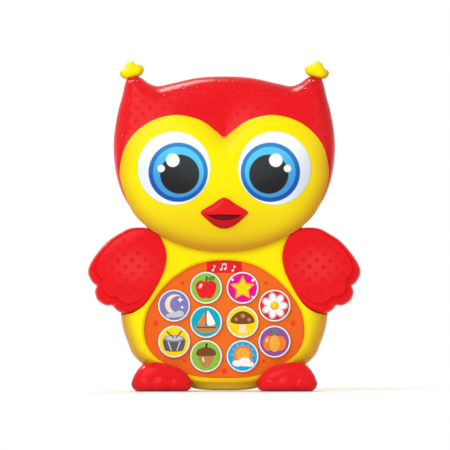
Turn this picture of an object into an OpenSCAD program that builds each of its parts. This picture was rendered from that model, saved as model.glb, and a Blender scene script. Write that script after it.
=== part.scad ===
// Musical owl toy: moulded shells, ten picture keys, speaker and battery pack.
// +Z is up, the owl faces -Y and the shells part at the plane y = 0.

/* [Head] */
// Width of the hood across the cheeks
head_w = 127.2; // [116:0.1:136]
// Height of the hood from chin to crown
head_h = 99.8; // [94:0.1:106]
// Height of the hood's chin above the floor
chin_z = 81.5; // [80.5:0.1:84]
// How far the hood's front edge stands before the parting plane
hood_depth = 15.2; // [14.6:0.1:16.4]
// Height of the head's middle above the hood's chin
head_rise = 44.5; // [42:0.5:47]
// How far the ears swell behind the parting plane
ear_back = 4; // [2:0.5:6]

/* [Face] */
// Width of the face mask
face_w = 120.4; // [110:0.1:122]
// Height of the face mask from chin to brow
face_h = 78.6; // [75:0.1:82]
// How far the chin of the mask hangs below the hood's chin
face_drop = 1.2; // [0.6:0.1:2]
// Depth of the mask's back rim before the parting plane
face_rim = 13.3; // [13.3:0.1:14]
// Depth of the middle of the mask before the parting plane
face_depth = 23; // [21.5:0.5:24]
// Height of the mask's upright edge
face_edge = 2.3; // [1.6:0.1:3]

/* [Eyes] */
// Diameter of an eye disc
eye_d = 42.2; // [36:0.2:45]
// Distance of an eye's middle from the middle plane
eye_x = 28.6; // [26:0.1:31]
// Height of an eye's middle above the hood's chin
eye_rise = 46.7; // [42:0.1:50]
// How far an eye's middle stands before the face
eye_proud = 0.5; // [0.2:0.1:1]
// Thickness of an eye disc at its edge
eye_edge = 3.4; // [2.4:0.1:4]
// Height of the dome on an eye disc
eye_dome = 1.6; // [0.8:0.1:2.4]
// Outward turn of an eye
eye_yaw = 5.2; // [4:0.1:6.5]
// Upward turn of an eye
eye_pitch = 1.4; // [0.4:0.1:2.4]

/* [Beak] */
// Width of the beak
beak_w = 27; // [22:0.5:30]
// Height of the beak
beak_h = 17.8; // [14:0.2:20]
// Height of the beak's lower tip above the hood's chin
beak_rise = 12; // [10:0.5:14]
// Depth of the beak's tip before the parting plane
beak_depth = 25.5; // [24.5:0.1:27]
// Width of the mouth
mouth_w = 20; // [14:0.5:21]
// Height of the mouth
mouth_h = 3.5; // [2:0.1:4.5]

/* [Body] */
// Width of the body at each side of the belly opening
body_side = 13.4; // [12:0.1:15]
// Height of the body up to the middle of the neck
body_h = 97.6; // [95:0.1:99]
// Gap below the body
body_lift = 0.4; // [0.3:0.1:1.5]
// Depth of the belly rim before the parting plane
body_depth = 13; // [12.4:0.1:13]
// Depth of the back behind the parting plane
back_depth = 25.5; // [23:0.5:28]
// Rounding of the back's edge
edge_round = 11; // [7:0.5:12]

/* [Belly] */
// Width of the belly opening
belly_w = 92.2; // [90:0.2:95]
// Height of the belly opening
belly_h = 67.9; // [66.5:0.1:69]
// Height of the opening above the body's lowest point
belly_rise = 7.1; // [6.4:0.1:7.8]
// Width of the bevel round the opening
bevel_w = 1.6; // [1:0.1:2]
// How far the panel lies behind the rim
panel_recess = 2.6; // [1.8:0.1:3]
// Thickness of the panel
panel_t = 2; // [1.6:0.1:2.6]
// Thickness of the printed sheet on the panel
label_t = 0.4; // [0.2:0.1:0.6]

/* [Keys] */
// Diameter of a key
key_d = 18.4; // [16:0.2:18.6]
// How far a key stands before the panel
key_proud = 2.4; // [2:0.1:3.4]
// Travel of a key
key_travel = 1.2; // [0.8:0.1:1.5]
// Width of a key's retaining flange
flange_w = 0.8; // [0.6:0.1:0.8]
// Thickness of a key's retaining flange
flange_t = 1; // [0.8:0.1:1.4]
// Width of the panel left between the two columns of inner keys
column_bridge = 2; // [1.2:0.1:3]
// Width of the panel left between two inner keys
inner_bridge = 0.65; // [0.5:0.05:1]
// Width of the panel left between two outer keys
outer_bridge = 1.7; // [1:0.1:2.4]
// Distance between the inner and the outer keys
side_step = 18.4; // [18:0.1:18.8]
// Width of a key's white rim
key_rim = 0.9; // [0.6:0.1:1.4]
// Thickness of a printed picture disc
picture_t = 0.3; // [0.2:0.1:0.5]

/* [Wings] */
// Width of a wing
wing_w = 45.1; // [40:0.1:48]
// Height of a wing
wing_h = 49.9; // [46:0.1:50.5]
// How far a wing reaches in over the belly's width
wing_lap = 12.7; // [11.1:0.1:13.1]
// Height of a wing's lower edge
wing_z = 44.5; // [43:0.1:46]
// Thickness of a wing
wing_t = 15.6; // [14.6:0.1:17]
// Height of the raised field on a wing
wing_step = 2.2; // [1:0.1:3]

/* [Feet] */
// Width of a foot
foot_w = 35.1; // [30:0.1:38]
// Height of a foot
foot_h = 16.8; // [15:0.1:18]
// Distance of a foot's inner edge from the middle plane
foot_x = 18.4; // [16:0.1:22]
// Reach of a foot before the parting plane
foot_front = 25.5; // [24:0.5:28]
// Reach of a foot behind the parting plane
foot_back = 21; // [17:0.5:23]
// Depth of the creases between the toes
toe_crease = 0.9; // [0.4:0.1:1.4]

/* [Tassels] */
// Width of a tassel
tassel_w = 14.4; // [12:0.2:16]
// Height of a tassel
tassel_h = 11.2; // [9:0.2:13]
// Thickness of a tassel
tassel_t = 9; // [7:0.5:11]

/* [Shells and fits] */
// Wall thickness of the shells
wall = 2.2; // [1.8:0.1:2.4]
// Clearance between neighbouring pieces
fit = 0.3; // [0.2:0.05:0.4]
// Width of the ledge that carries the panel
ledge_w = 2; // [1.6:0.1:2.1]
// Diameter of a case screw
screw_d = 2.8; // [2.4:0.1:3.2]
// Diameter of a case screw's head
screw_head_d = 5.8; // [5:0.1:6.2]
// Height of a case screw's head
screw_head_h = 2; // [1.4:0.1:2.6]
// Length of a case screw below its head
screw_len = 12; // [10:0.5:12.5]

/* [Power] */
// Diameter of a battery cell
cell_d = 10.5; // [10:0.1:11]
// Length of a battery cell
cell_len = 44.5; // [42:0.1:46]
// Number of battery cells
cell_count = 3; // [2:1:3]
// Gap between two cells
cell_gap = 0.6; // [0.4:0.1:1]
// Room for the contacts at each end of a cell
contact_room = 3.2; // [2.8:0.1:4]
// Height of the battery bay's middle
bay_z = 44; // [43:0.5:47]
// Thickness of the battery door
door_t = 2.2; // [1.8:0.1:2.6]
// Height of the strip below the bay that takes the door's screw
door_strip = 8; // [7:0.5:10]

/* [Sound and switch] */
// Diameter of the speaker
speaker_d = 40; // [36:1:44]
// Height of the speaker's middle
speaker_z = 134; // [130:1:138]
// Diameter of a grille hole
grille_d = 3; // [2:0.1:3.4]
// Spacing of the grille's rings of holes
grille_pitch = 5; // [4.6:0.1:5.6]
// Height of the power switch
switch_z = 86; // [82:0.5:92]
// Travel of the power knob to each side
knob_travel = 3; // [2:0.1:4]
// Width of the power knob
knob_w = 6; // [5:0.1:8]
// Thickness of the circuit board
board_t = 1.6; // [1:0.1:2]
// Diameter of a wire
wire_d = 1.3; // [1:0.1:1.6]

/* [Hidden] */
$fn = 48;
far = 1000;
curve_steps = 3;

// Helpers for outlines, which are lists of [x, z] points, clockwise as seen from the front
function mix(a, b, t) = a + (b - a) * t;
function ease(t) = let (u = min(max(t, 0), 1)) u * u * (3 - 2 * u);
function heading(v) = atan2(v.y, v.x);
function indices(p) = [0 : len(p) - 1];
function mirrored(p) = [for (i = [len(p) - 1 : -1 : 0]) [-p[i].x, p[i].y]];
// A closed outline from its right half, listed from the top down
function both_sides(half) = concat(half, [for (q = mirrored(half)) if (q.x < -0.01) q]);
function spline(a, b, c, d, t) =
    (2 * b + (c - a) * t + (2 * a - 5 * b + 4 * c - d) * t * t + (3 * b - a - 3 * c + d) * t * t * t) / 2;
// A smooth closed curve through the points, with k steps from one to the next
function smooth(p, k) = let (n = len(p)) [
    for (i = [0 : n - 1]) for (j = [0 : k - 1])
        spline(p[(i + n - 1) % n], p[i], p[(i + 1) % n], p[(i + 2) % n], j / k)
];
// A unit shape at its size and place
function placed(shape, size, at) = [for (q = shape) [at.x + q.x * size.x, at.y + q.y * size.y]];
// An outline moved outward by d
function grow(p, d) = let (n = len(p)) [
    for (i = [0 : n - 1])
        let (t = p[(i + 1) % n] - p[(i + n - 1) % n])
        p[i] + d / norm(t) * [-t.y, t.x]
];
function scaled(p, c, s) = [for (q = p) c + (q - c) * s];
// Distance from c, in the direction a, to the nearest edge of an outline
function crossing(u, e, d) =
    let (k = d.x * e.y - d.y * e.x)
    abs(k) < 1e-9 ? far :
    let (t = (u.x * e.y - u.y * e.x) / k, s = (u.x * d.y - u.y * d.x) / k)
    t > 0 && s >= 0 && s <= 1 ? t : far;
function reach(p, c, a) = let (n = len(p), d = [cos(a), sin(a)]) min([
    for (i = [0 : n - 1]) crossing(p[i] - c, p[(i + 1) % n] - p[i], d)
]);
function fan(c, a, r) = [for (i = indices(a)) c + r[i] * [cos(a[i]), sin(a[i])]];
// An outline set at depth y, which is one value or one for each point
function at_y(p, y) = [for (i = indices(p)) [p[i].x, is_list(y) ? y[i] : y, p[i].y]];

// Skins: rings of points joined by triangles
function band(n, a, b) = [
    for (i = [0 : n - 1]) let (j = (i + 1) % n) each [[a + i, a + j, b + j], [a + i, b + j, b + i]]
];
module loop_skin(rings) {
    n = len(rings[0]);
    m = len(rings);
    polyhedron([for (r = rings) each r], [for (k = [0 : m - 1]) each band(n, k * n, (k + 1) % m * n)]);
}
module cap_skin(rings, back, front) {
    n = len(rings[0]);
    m = len(rings);
    polyhedron(
        concat([for (r = rings) each r], [back, front]),
        concat(
            [for (k = [0 : m - 2]) each band(n, k * n, (k + 1) * n)],
            [for (i = [0 : n - 1]) [m * n, (i + 1) % n, i]],
            [for (i = [0 : n - 1]) [(m - 1) * n + i, (m - 1) * n + (i + 1) % n, m * n + 1]]
        )
    );
}
// A flat plate of an outline between two depths
module plate(p, y_back, y_front) {
    translate([0, y_back, 0]) rotate([90, 0, 0]) linear_extrude(y_back - y_front) polygon(p);
}
// Children drawn along +Z face the front at x, z with their foot at depth y
module facing(x, y, z) {
    translate([x, y, z]) rotate([90, 0, 0]) children();
}

// Outlines of the moulded pieces
function head_at(u, v) = [u * head_w / 2, chin_z + v * head_h];
body_w = belly_w + 2 * body_side;
function body_at(u, v) = [u * body_w / 2, body_lift + v * body_h];
head_mid = [0, chin_z + head_rise];
hood_half = [
    head_at(0, 1), head_at(0.238, 0.992), head_at(0.475, 0.96), head_at(0.6, 0.944), head_at(0.689, 0.962),
    head_at(0.759, 0.994), head_at(0.83, 0.998), head_at(0.89, 0.976), head_at(0.924, 0.891),
    head_at(0.968, 0.785), head_at(1, 0.65), head_at(1, 0.529), head_at(0.968, 0.403), head_at(0.897, 0.287),
    head_at(0.79, 0.204), head_at(0.625, 0.13), head_at(0.435, 0.055), head_at(0.222, 0.011), head_at(0, 0)
];
hood_outline = smooth(both_sides(hood_half), curve_steps);
face_half = [
    [0, 0.838], [0.077, 0.882], [0.232, 0.963], [0.455, 1], [0.676, 0.963], [0.846, 0.875], [0.953, 0.757],
    [1, 0.6], [0.985, 0.5], [0.931, 0.378], [0.855, 0.262], [0.69, 0.157], [0.473, 0.067], [0.238, 0.014],
    [0, 0]
];
face_z = chin_z - face_drop;
face_outline = smooth(both_sides(placed(face_half, [face_w / 2, face_h], [0, face_z])), curve_steps);
// The rear cover and the body share one outline, so that they meet flush
shell_half = [
    head_at(0, 0.995), head_at(0.3, 0.978), head_at(0.54, 0.935), head_at(0.74, 0.862), head_at(0.89, 0.765),
    head_at(0.965, 0.655), head_at(0.985, 0.54), head_at(0.95, 0.41), head_at(0.87, 0.29),
    head_at(0.745, 0.195), body_at(0.75, 0.925), body_at(0.845, 0.8), body_at(0.95, 0.65),
    body_at(0.992, 0.53),
    body_at(1, 0.44), body_at(0.98, 0.36), body_at(0.935, 0.28), body_at(0.882, 0.208), body_at(0.765, 0.144),
    body_at(0.571, 0.097), body_at(0.42, 0.045), body_at(0.3, 0.012), body_at(0.15, 0.001), body_at(0, 0)
];
shell_outline = smooth(both_sides(shell_half), 2);
shell_mid = [0, body_at(0, 1).y];
belly_half = [
    [0, 1], [0.336, 0.966], [0.605, 0.865], [0.768, 0.763], [0.881, 0.661], [0.961, 0.56], [1, 0.433],
    [0.98, 0.305], [0.894, 0.203], [0.716, 0.115], [0.399, 0.021], [0, 0]
];
belly_z = body_lift + belly_rise;
belly_mid = [0, belly_z + belly_h / 2];
belly_outline = smooth(both_sides(placed(belly_half, [belly_w / 2, belly_h], [0, belly_z])), 4);
wing_shape = [
    [0.376, 0.98], [0.55, 0.945], [0.738, 0.842], [0.872, 0.707], [0.98, 0.563], [0.996, 0.455],
    [0.931, 0.351], [0.895, 0.319], [0.913, 0.251], [0.885, 0.165], [0.815, 0.112], [0.745, 0.09],
    [0.694, 0.096], [0.629, 0.036], [0.528, 0], [0.405, 0.022], [0.26, 0.122], [0.123, 0.32],
    [0.027, 0.511], [0, 0.68], [0.045, 0.83], [0.12, 0.93], [0.22, 0.985]
];
wing_x = belly_w / 2 - wing_lap;
wing_outline = smooth(placed(wing_shape, [wing_w, wing_h], [wing_x, wing_z]), curve_steps);
foot_shape = [
    [0, 0.262], [0.077, 0.565], [0.228, 0.804], [0.43, 0.946], [0.641, 1], [0.812, 0.905], [0.94, 0.607],
    [1, 0.238], [0.943, -0.024], [0.5, -0.048], [0.074, -0.024]
];
foot_outline = smooth(placed(foot_shape, [foot_w, foot_h], [foot_x, 0]), curve_steps);
tassel_shape = [
    [0.455, 0.05], [0.167, 0.17], [0.03, 0.33], [0, 0.555], [0.06, 0.735], [0.22, 0.805], [0.34, 0.79],
    [0.395, 0.93], [0.54, 1], [0.68, 0.93], [0.73, 0.76], [0.77, 0.66], [0.86, 0.615], [0.968, 0.464],
    [1, 0.286], [0.936, 0.09], [0.744, 0]
];
ear_tip = head_at(0.83, 0.998);
tassel_at = ear_tip - [0.45 * tassel_w, 0.12 * tassel_h];
tassel_outline = smooth(placed(tassel_shape, [tassel_w, tassel_h], tassel_at), curve_steps);
beak_half = [
    [0, 1], [0.19, 0.95], [0.47, 0.8], [0.89, 0.61], [1, 0.52], [0.9, 0.41], [0.5, 0.14], [0.19, 0.02],
    [0, 0]
];
beak_z = chin_z + beak_rise;
beak_outline = smooth(both_sides(placed(beak_half, [beak_w / 2, beak_h], [0, beak_z])), curve_steps);

// Depths of the key stack, measured forward from the parting plane
panel_y = body_depth - panel_recess;
panel_back = panel_y - panel_t;
flange_y = panel_back - fit;
dome_y = flange_y - flange_t - fit;
dome_h = key_travel + 1;
mat_t = 1;
mat_y = dome_y - dome_h;
board_y = mat_y - mat_t;
board_back = board_y - board_t;

// Places of the keys and of the posts that carry the circuit board
pad_drop = 1.65;
outer_drop = 0.95;
pad_z = belly_mid.y - pad_drop;
outer_z = pad_z - outer_drop;
key_hole_d = key_d + 2 * fit;
inner_x = (key_hole_d + column_bridge) / 2;
outer_x = inner_x + side_step;
inner_pitch = key_hole_d + inner_bridge;
outer_pitch = key_hole_d + outer_bridge;
key_spots = [
    [-inner_x, pad_z + inner_pitch], [inner_x, pad_z + inner_pitch],
    [-outer_x, outer_z + outer_pitch / 2], [outer_x, outer_z + outer_pitch / 2],
    [-inner_x, pad_z], [inner_x, pad_z],
    [-outer_x, outer_z - outer_pitch / 2], [outer_x, outer_z - outer_pitch / 2],
    [-inner_x, pad_z - inner_pitch], [inner_x, pad_z - inner_pitch]
];
post_d = 4.8;
post_gap = 1.2;
post_x = outer_x + key_hole_d / 2 + post_gap;
post_spots = [
    [0, pad_z + inner_pitch / 2], [0, pad_z - inner_pitch / 2], [-post_x, outer_z], [post_x, outer_z]
];
board_screw_d = 2;
board_screw_len = 5;
pilot_fit = 0.1;

// Case screws: two through the body's sides and two through the brow
screw_bite = 7;
screw_seat = screw_len - screw_bite;
boss_wall = 1.8;
boss_d = screw_d + 2 * boss_wall;
boss_gap = 0.8;
side_screw_drop = 3;
side_screw = [belly_w / 2 + ledge_w + boss_d / 2 + boss_gap, pad_z - side_screw_drop];
brow_screw = head_at(0.38, 0.87);
screw_spots = [for (p = [side_screw, brow_screw]) for (s = [-1, 1]) [s * p.x, p.y]];
bore_d = screw_d + fit;
sink_d = screw_head_d + 2 * fit;

// Battery bay and door
bay_wall = 1.8;
bay_w = cell_len + 2 * contact_room;
bay_h = cell_count * cell_d + (cell_count + 1) * cell_gap;
door_seat = back_depth - door_t - fit;
bay_floor = door_seat - cell_d - 2 * fit;
cell_y = bay_floor + fit + cell_d / 2;
opening_w = bay_w + 2 * bay_wall;
opening_top = bay_z + bay_h / 2 + bay_wall;
opening_low = bay_z - bay_h / 2 - bay_wall - door_strip;
frame_w = 1.5;
door_screw_z = opening_low + door_strip / 2;
door_screw_d = 2.4;
door_screw_len = 7;
door_head_h = 1;
door_head_d = 5;
strip_depth = door_screw_len + 2;

// Speaker and switch
back_in = back_depth - wall;
rib_t = 1.6;
cup_depth = 8;
magnet_d = 20;
magnet_t = 5;
plate_d = 26;
knob_h = 7;
knob_t = 2;
stem_w = 3;
stem_h = 3.4;
recess_depth = knob_t + 2 * fit;
recess_floor = back_depth - recess_depth;
recess_wall = 1.8;
recess_w = knob_w + 2 * knob_travel + 2;
recess_h = knob_h + 2;
slot_w = stem_w + 2 * knob_travel + 2 * fit;
slot_h = stem_h + 2 * fit;
switch_y = recess_floor - recess_wall;
switch_t = 5.5;
switch_slot = 1.9;

// Children drawn along +Z point to the back at x, z from depth y
module rearward(x, y, z) {
    translate([x, y, z]) rotate([-90, 0, 0]) children();
}
// A box between two corners
module box(a, b) {
    translate(a) cube(b - a);
}

// Hood: its crown rounds over, then the forehead slopes forward to the face
head_cut = grow(face_outline, fit);
hood_cut = grow(hood_outline, fit);
wing_cut = grow(wing_outline, fit);
hood_ledge = face_rim - fit;
hood_step = 0.2;
hood_lip = 0.8;
seat_lip = 0.5;
brow_blend = 6;
ear_blend = 8;
function hood_share(t) =
    mix(pow(max(t - 0.25, 0) / 0.75, 1.6), sqrt(1 - pow(1 - min(t / 0.4, 1), 2)), 0.72);
module hood_front() {
    n = indices(hood_outline);
    a = [for (q = hood_outline) heading(q - head_mid)];
    out = [for (q = hood_outline) norm(q - head_mid)];
    gap = [for (t = a) reach(head_cut, head_mid, t)];
    edge = [for (i = n) min(gap[i], out[i] - hood_lip)];
    inner = [for (i = n) edge[i] - 2 * ledge_w];
    seat = [for (i = n) min(reach(shell_outline, head_mid, a[i]), out[i] - seat_lip)];
    hollow = [for (i = n) min(out[i] - wall, seat[i] - wall / 2)];
    under = [for (i = n) min(edge[i], hollow[i]) - seat_lip];
    front = [for (i = n) -mix(hood_ledge + hood_step, hood_depth, ease((out[i] - gap[i]) / brow_blend))];
    swell = [for (i = n) ear_back * ease((out[i] - seat[i] - 2 * seat_lip) / ear_blend)];
    color("#ED1C24") difference() {
        union() {
            loop_skin(concat(
                [at_y(hood_outline, 0)],
                [for (t = [0.03, 0.11, 0.25, 0.45, 0.72, 1])
                    at_y(fan(head_mid, a, mix(out, edge, t)), front * hood_share(t))],
                [
                    at_y(fan(head_mid, a, edge), -hood_ledge),
                    at_y(fan(head_mid, a, inner), -hood_ledge),
                    at_y(fan(head_mid, a, inner), wall - hood_ledge),
                    at_y(fan(head_mid, a, under), wall - hood_ledge),
                    at_y(fan(head_mid, a, hollow), -wall),
                    at_y(fan(head_mid, a, hollow), 0),
                    at_y(fan(head_mid, a, seat), 0),
                    at_y(fan(head_mid, a, mix(seat, out, 0.35)), swell),
                    at_y(fan(head_mid, a, mix(seat, out, 0.75)), 0.85 * swell)
                ]
            ));
            for (s = [-1, 1]) facing(s * brow_screw.x, 0, brow_screw.y)
                cylinder(d = boss_d, h = screw_bite + 1);
        }
        for (s = [-1, 1]) facing(s * brow_screw.x, 1, brow_screw.y)
            cylinder(d = screw_d + 2 * pilot_fit, h = screw_bite + 1.5);
    }
}

// Face mask with its sockets: a dome from its edge, at t = 0, to the head's middle, at t = 1
face_side = face_rim + face_edge;
function face_y(t) = -mix(face_side, face_depth, pow(1 - pow(1 - t, 2.4), 0.7));
function face_at(q) = let (d = q - head_mid) -face_y(1 - norm(d) / reach(face_outline, head_mid, heading(d)));
eye_mid = [eye_x, chin_z + eye_rise];
socket_depth = face_at(eye_mid) + eye_proud - eye_edge - eye_dome;
module eye_axis() {
    translate([eye_mid.x, -socket_depth, eye_mid.y]) rotate([-eye_pitch, 0, eye_yaw]) rotate([90, 0, 0])
        children();
}
beak_root = 3;
beak_seat = face_at([0, beak_z]) - beak_root;
module face_dome(inset, deeper, steps) {
    p = grow(face_outline, -inset);
    cap_skin(
        concat(
            [at_y(p, deeper - face_rim), at_y(p, deeper - face_side)],
            [for (t = steps) at_y(scaled(p, head_mid, 1 - t), deeper + face_y(t))]
        ),
        [head_mid.x, deeper - face_rim, head_mid.y], [head_mid.x, deeper + face_y(1), head_mid.y]
    );
}
module face_mask() {
    color("#FFF200") difference() {
        face_dome(0, 0, [0.04, 0.11, 0.21, 0.35, 0.55, 0.8]);
        difference() {
            face_dome(wall, wall, [0.11, 0.35, 0.7]);
            for (s = [0, 1]) mirror([s, 0, 0]) eye_axis()
                translate([0, 0, -wall]) cylinder(d = eye_d + 2 * fit + 2 * wall, h = 2 * wall + eye_edge);
            plate(grow(beak_outline, wall), wall - beak_seat, -face_depth);
        }
        for (s = [0, 1]) mirror([s, 0, 0]) eye_axis() cylinder(d = eye_d + 2 * fit, h = face_depth);
        plate(grow(beak_outline, fit), -beak_seat, -face_depth - 1);
    }
}
module eye() {
    ball = (pow(eye_d / 2, 2) + pow(eye_dome, 2)) / (2 * eye_dome);
    function lens(x) = eye_edge + eye_dome - ball + sqrt(ball * ball - x * x);
    color("white") eye_axis() rotate_extrude() polygon(concat(
        [[0, 0], [eye_d / 2, 0]],
        [for (u = [1 : -0.125 : 0]) [u * eye_d / 2, lens(u * eye_d / 2)]]
    ));
}
module eye_right() { eye(); }
module eye_left() { mirror([1, 0, 0]) eye(); }

// Beak with an open mouth
module beak() {
    mid = [0, beak_z + beak_h / 2];
    side = [for (q = beak_outline) -face_at(q) - fit];
    tip = [for (q = beak_outline) -beak_depth];
    lips = beak_z + 0.44 * beak_h;
    mouth_depth = 3;
    mouth = concat(
        [for (u = [-1 : 0.125 : 1]) [u * mouth_w / 2, lips + 0.1 * mouth_h * (1 - u * u)]],
        [for (u = [0.875 : -0.125 : -0.875]) [u * mouth_w / 2, lips - 0.9 * mouth_h * (1 - u * u)]]
    );
    color("#ED1C24") difference() {
        cap_skin(
            [
                at_y(beak_outline, -beak_seat), at_y(beak_outline, side),
                at_y(scaled(beak_outline, mid, 0.93), mix(side, tip, 0.36)),
                at_y(scaled(beak_outline, mid, 0.75), mix(side, tip, 0.7)),
                at_y(scaled(beak_outline, mid, 0.42), mix(side, tip, 0.93))
            ],
            [mid.x, -beak_seat, mid.y], [mid.x, -beak_depth, mid.y]
        );
        plate(mouth, mouth_depth - beak_depth, -beak_depth - 1);
    }
}

// Body front: a frame from the belly opening to the shell's outline, cut back for the hood and the wings
shoulder = body_depth - 1;
lip = 0.6;
trim = 1.2;
function neighbour(t) = let (r = heading([abs(cos(t)), sin(t)]))
    min(reach(hood_cut, belly_mid, r), reach(wing_cut, belly_mid, r));
module body_front() {
    n = indices(belly_outline);
    a = [for (q = belly_outline) heading(q - belly_mid)];
    open = [for (t = a) reach(shell_outline, belly_mid, t)];
    beside = [for (t = a) neighbour(t)];
    held = [for (i = n) min(open[i], beside[i])];
    edge = [for (i = n) -lip - shoulder * ease((1 - held[i] / open[i]) / 0.1)];
    outer = fan(belly_mid, a, [for (i = n) min(open[i], beside[i] + trim)]);
    rim = grow(belly_outline, bevel_w);
    pocket = grow(belly_outline, ledge_w);
    hollow = fan(belly_mid, a, [for (i = n) max(held[i] - wall, norm(pocket[i] - belly_mid) + 0.2)]);
    color("#FFE600") difference() {
        union() {
            loop_skin(concat(
                [at_y(outer, 0), at_y(outer, edge)],
                [for (s = [22.5 : 22.5 : 90]) at_y(
                    [for (i = n) mix(outer[i], rim[i], 1 - cos(s))],
                    [for (i = n) mix(edge[i], -body_depth, sin(s))])],
                [
                    at_y(belly_outline, -panel_y - lip), at_y(belly_outline, -panel_y),
                    at_y(pocket, -panel_y),
                    at_y(pocket, fit - panel_back), at_y(hollow, -2 * wall), at_y(hollow, 0)
                ]
            ));
            for (s = [-1, 1]) facing(s * side_screw.x, 0, side_screw.y)
                cylinder(d = boss_d, h = screw_bite + 1);
        }
        for (s = [-1, 1]) facing(s * side_screw.x, 1, side_screw.y)
            cylinder(d = screw_d + 2 * pilot_fit, h = screw_bite + 1.5);
        plate(hood_cut, 1, -body_depth - 1);
        for (s = [0, 1]) mirror([s, 0, 0]) plate(wing_cut, 1, -body_depth - 1);
    }
}

// Rear cover
module shell_skin(inset, rim_y) {
    r = edge_round - inset;
    start = back_depth - edge_round;
    side = grow(shell_outline, -inset);
    cap_skin(
        concat(
            [for (s = [90 : -22.5 : 22.5])
                at_y(grow(shell_outline, -inset - r * (1 - cos(s))), start + r * sin(s))],
            [at_y(side, start), at_y(side, rim_y)]
        ),
        [shell_mid.x, start + r, shell_mid.y], [shell_mid.x, rim_y, shell_mid.y]
    );
}
module rear_inside() {
    for (p = screw_spots) rearward(p.x, 0, p.y) cylinder(d = sink_d + 2 * wall, h = back_depth);
    half = opening_w / 2 + frame_w;
    box([-half, bay_floor - bay_wall, opening_low + door_strip - bay_wall],
        [half, back_depth, opening_top + frame_w]);
    box([-half, door_seat - strip_depth, opening_low - frame_w],
        [half, back_depth, opening_low + door_strip]);
    rearward(0, back_in - cup_depth + 1, speaker_z) difference() {
        cylinder(d = speaker_d + 2 * fit + 2 * rib_t, h = cup_depth);
        translate([0, 0, -1]) cylinder(d = speaker_d + 2 * fit, h = cup_depth);
    }
    box([-recess_w / 2 - rib_t, switch_y, switch_z - recess_h / 2 - rib_t],
        [recess_w / 2 + rib_t, back_depth, switch_z + recess_h / 2 + rib_t]);
}
module grille() {
    rearward(0, back_in - 1, speaker_z) {
        cylinder(d = grille_d, h = wall + 2);
        for (k = [1 : 3]) for (j = [1 : 6 * k]) rotate(60 * j / k)
            translate([k * grille_pitch, 0, 0]) cylinder(d = grille_d, h = wall + 2);
    }
}
module rear_cover() {
    color("#FFE600") difference() {
        shell_skin(0, 0);
        difference() {
            shell_skin(wall, -1);
            rear_inside();
        }
        for (p = screw_spots) {
            rearward(p.x, -1, p.y) cylinder(d = bore_d, h = back_depth);
            rearward(p.x, screw_seat, p.y) cylinder(d = sink_d, h = back_depth);
        }
        box([-bay_w / 2, bay_floor, bay_z - bay_h / 2], [bay_w / 2, back_depth, bay_z + bay_h / 2]);
        box([-opening_w / 2, door_seat, opening_low], [opening_w / 2, back_depth + 1, opening_top]);
        rearward(0, door_seat - door_screw_len - fit, door_screw_z)
            cylinder(d = door_screw_d + 2 * fit, h = back_depth);
        grille();
        box([-recess_w / 2, recess_floor, switch_z - recess_h / 2],
            [recess_w / 2, back_depth + 1, switch_z + recess_h / 2]);
        box([-slot_w / 2, switch_y - 1, switch_z - slot_h / 2],
            [slot_w / 2, back_depth, switch_z + slot_h / 2]);
    }
}

// Wings, feet and tassels: the right one is drawn, the left one mirrors it
// A wing's rings: scale, depth along the inner edge and depth along the scalloped edge
wing_mid = [wing_x + 0.28 * wing_w, wing_z + 0.79 * wing_h];
wing_rim = wing_t - 2 * wing_step;
wing_root = 0.09 * wing_w;
wing_rings = [
    [0.95, fit, fit], [1, 3, 3], [1, body_depth, 0.4 * wing_rim], [0.985, body_depth + 1.2, 0.76 * wing_rim],
    [0.95, wing_t - 0.7, 0.95 * wing_rim], [0.87, wing_t - 0.4, wing_rim],
    [0.845, wing_t - 0.3, wing_rim + wing_step], [0.75, wing_t - 0.2, wing_t - 0.6],
    [0.45, wing_t - 0.1, wing_t - 0.2]
];
module wing() {
    outward = [for (q = wing_outline) ease((q.x - wing_x - wing_root) / (0.55 * wing_w))];
    color("#ED1C24") difference() {
        cap_skin(
            [for (s = wing_rings)
                at_y(scaled(wing_outline, wing_mid, s[0]), [for (u = outward) -mix(s[1], s[2], u)])],
            [wing_mid.x, -fit, wing_mid.y], [wing_mid.x, -wing_t, wing_mid.y]
        );
        plate(head_cut, 1, -wing_t - 1);
        plate(hood_cut, 1, -wing_t - 1);
    }
}
module wing_right() { wing(); }
module wing_left() { mirror([1, 0, 0]) wing(); }

foot_round = 10;
// Two soft creases part three toes low on the front
function toe(q) = toe_crease * (1 - ease(q.y / (0.75 * foot_h))) *
    (1 - pow(abs(sin(540 * (q.x - foot_x) / foot_w)), 0.7));
module foot() {
    mid = [foot_x + foot_w / 2, 0.35 * foot_h];
    steps = [
        [0.78, foot_back, 0], [0.95, foot_back - 0.3 * foot_round, 0], [1, foot_back - foot_round, 0],
        [1, foot_round - foot_front, 0], [0.93, 0.45 * foot_round - foot_front, 0.6],
        [0.77, 0.16 * foot_round - foot_front, 1], [0.47, 0.03 * foot_round - foot_front, 1]
    ];
    color("#ED1C24") difference() {
        cap_skin(
            [for (s = steps) let (p = scaled(foot_outline, mid, s[0]))
                at_y(p, [for (q = p) s[1] + s[2] * toe(q)])],
            [mid.x, foot_back, mid.y], [mid.x, -foot_front, mid.y]
        );
        plate(grow(shell_outline, fit), foot_back + 1, -body_depth - fit);
        box([0, -foot_front - 1, -foot_h], [foot_x + foot_w + 1, foot_back + 1, 0]);
    }
}
module foot_right() { foot(); }
module foot_left() { mirror([1, 0, 0]) foot(); }

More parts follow.
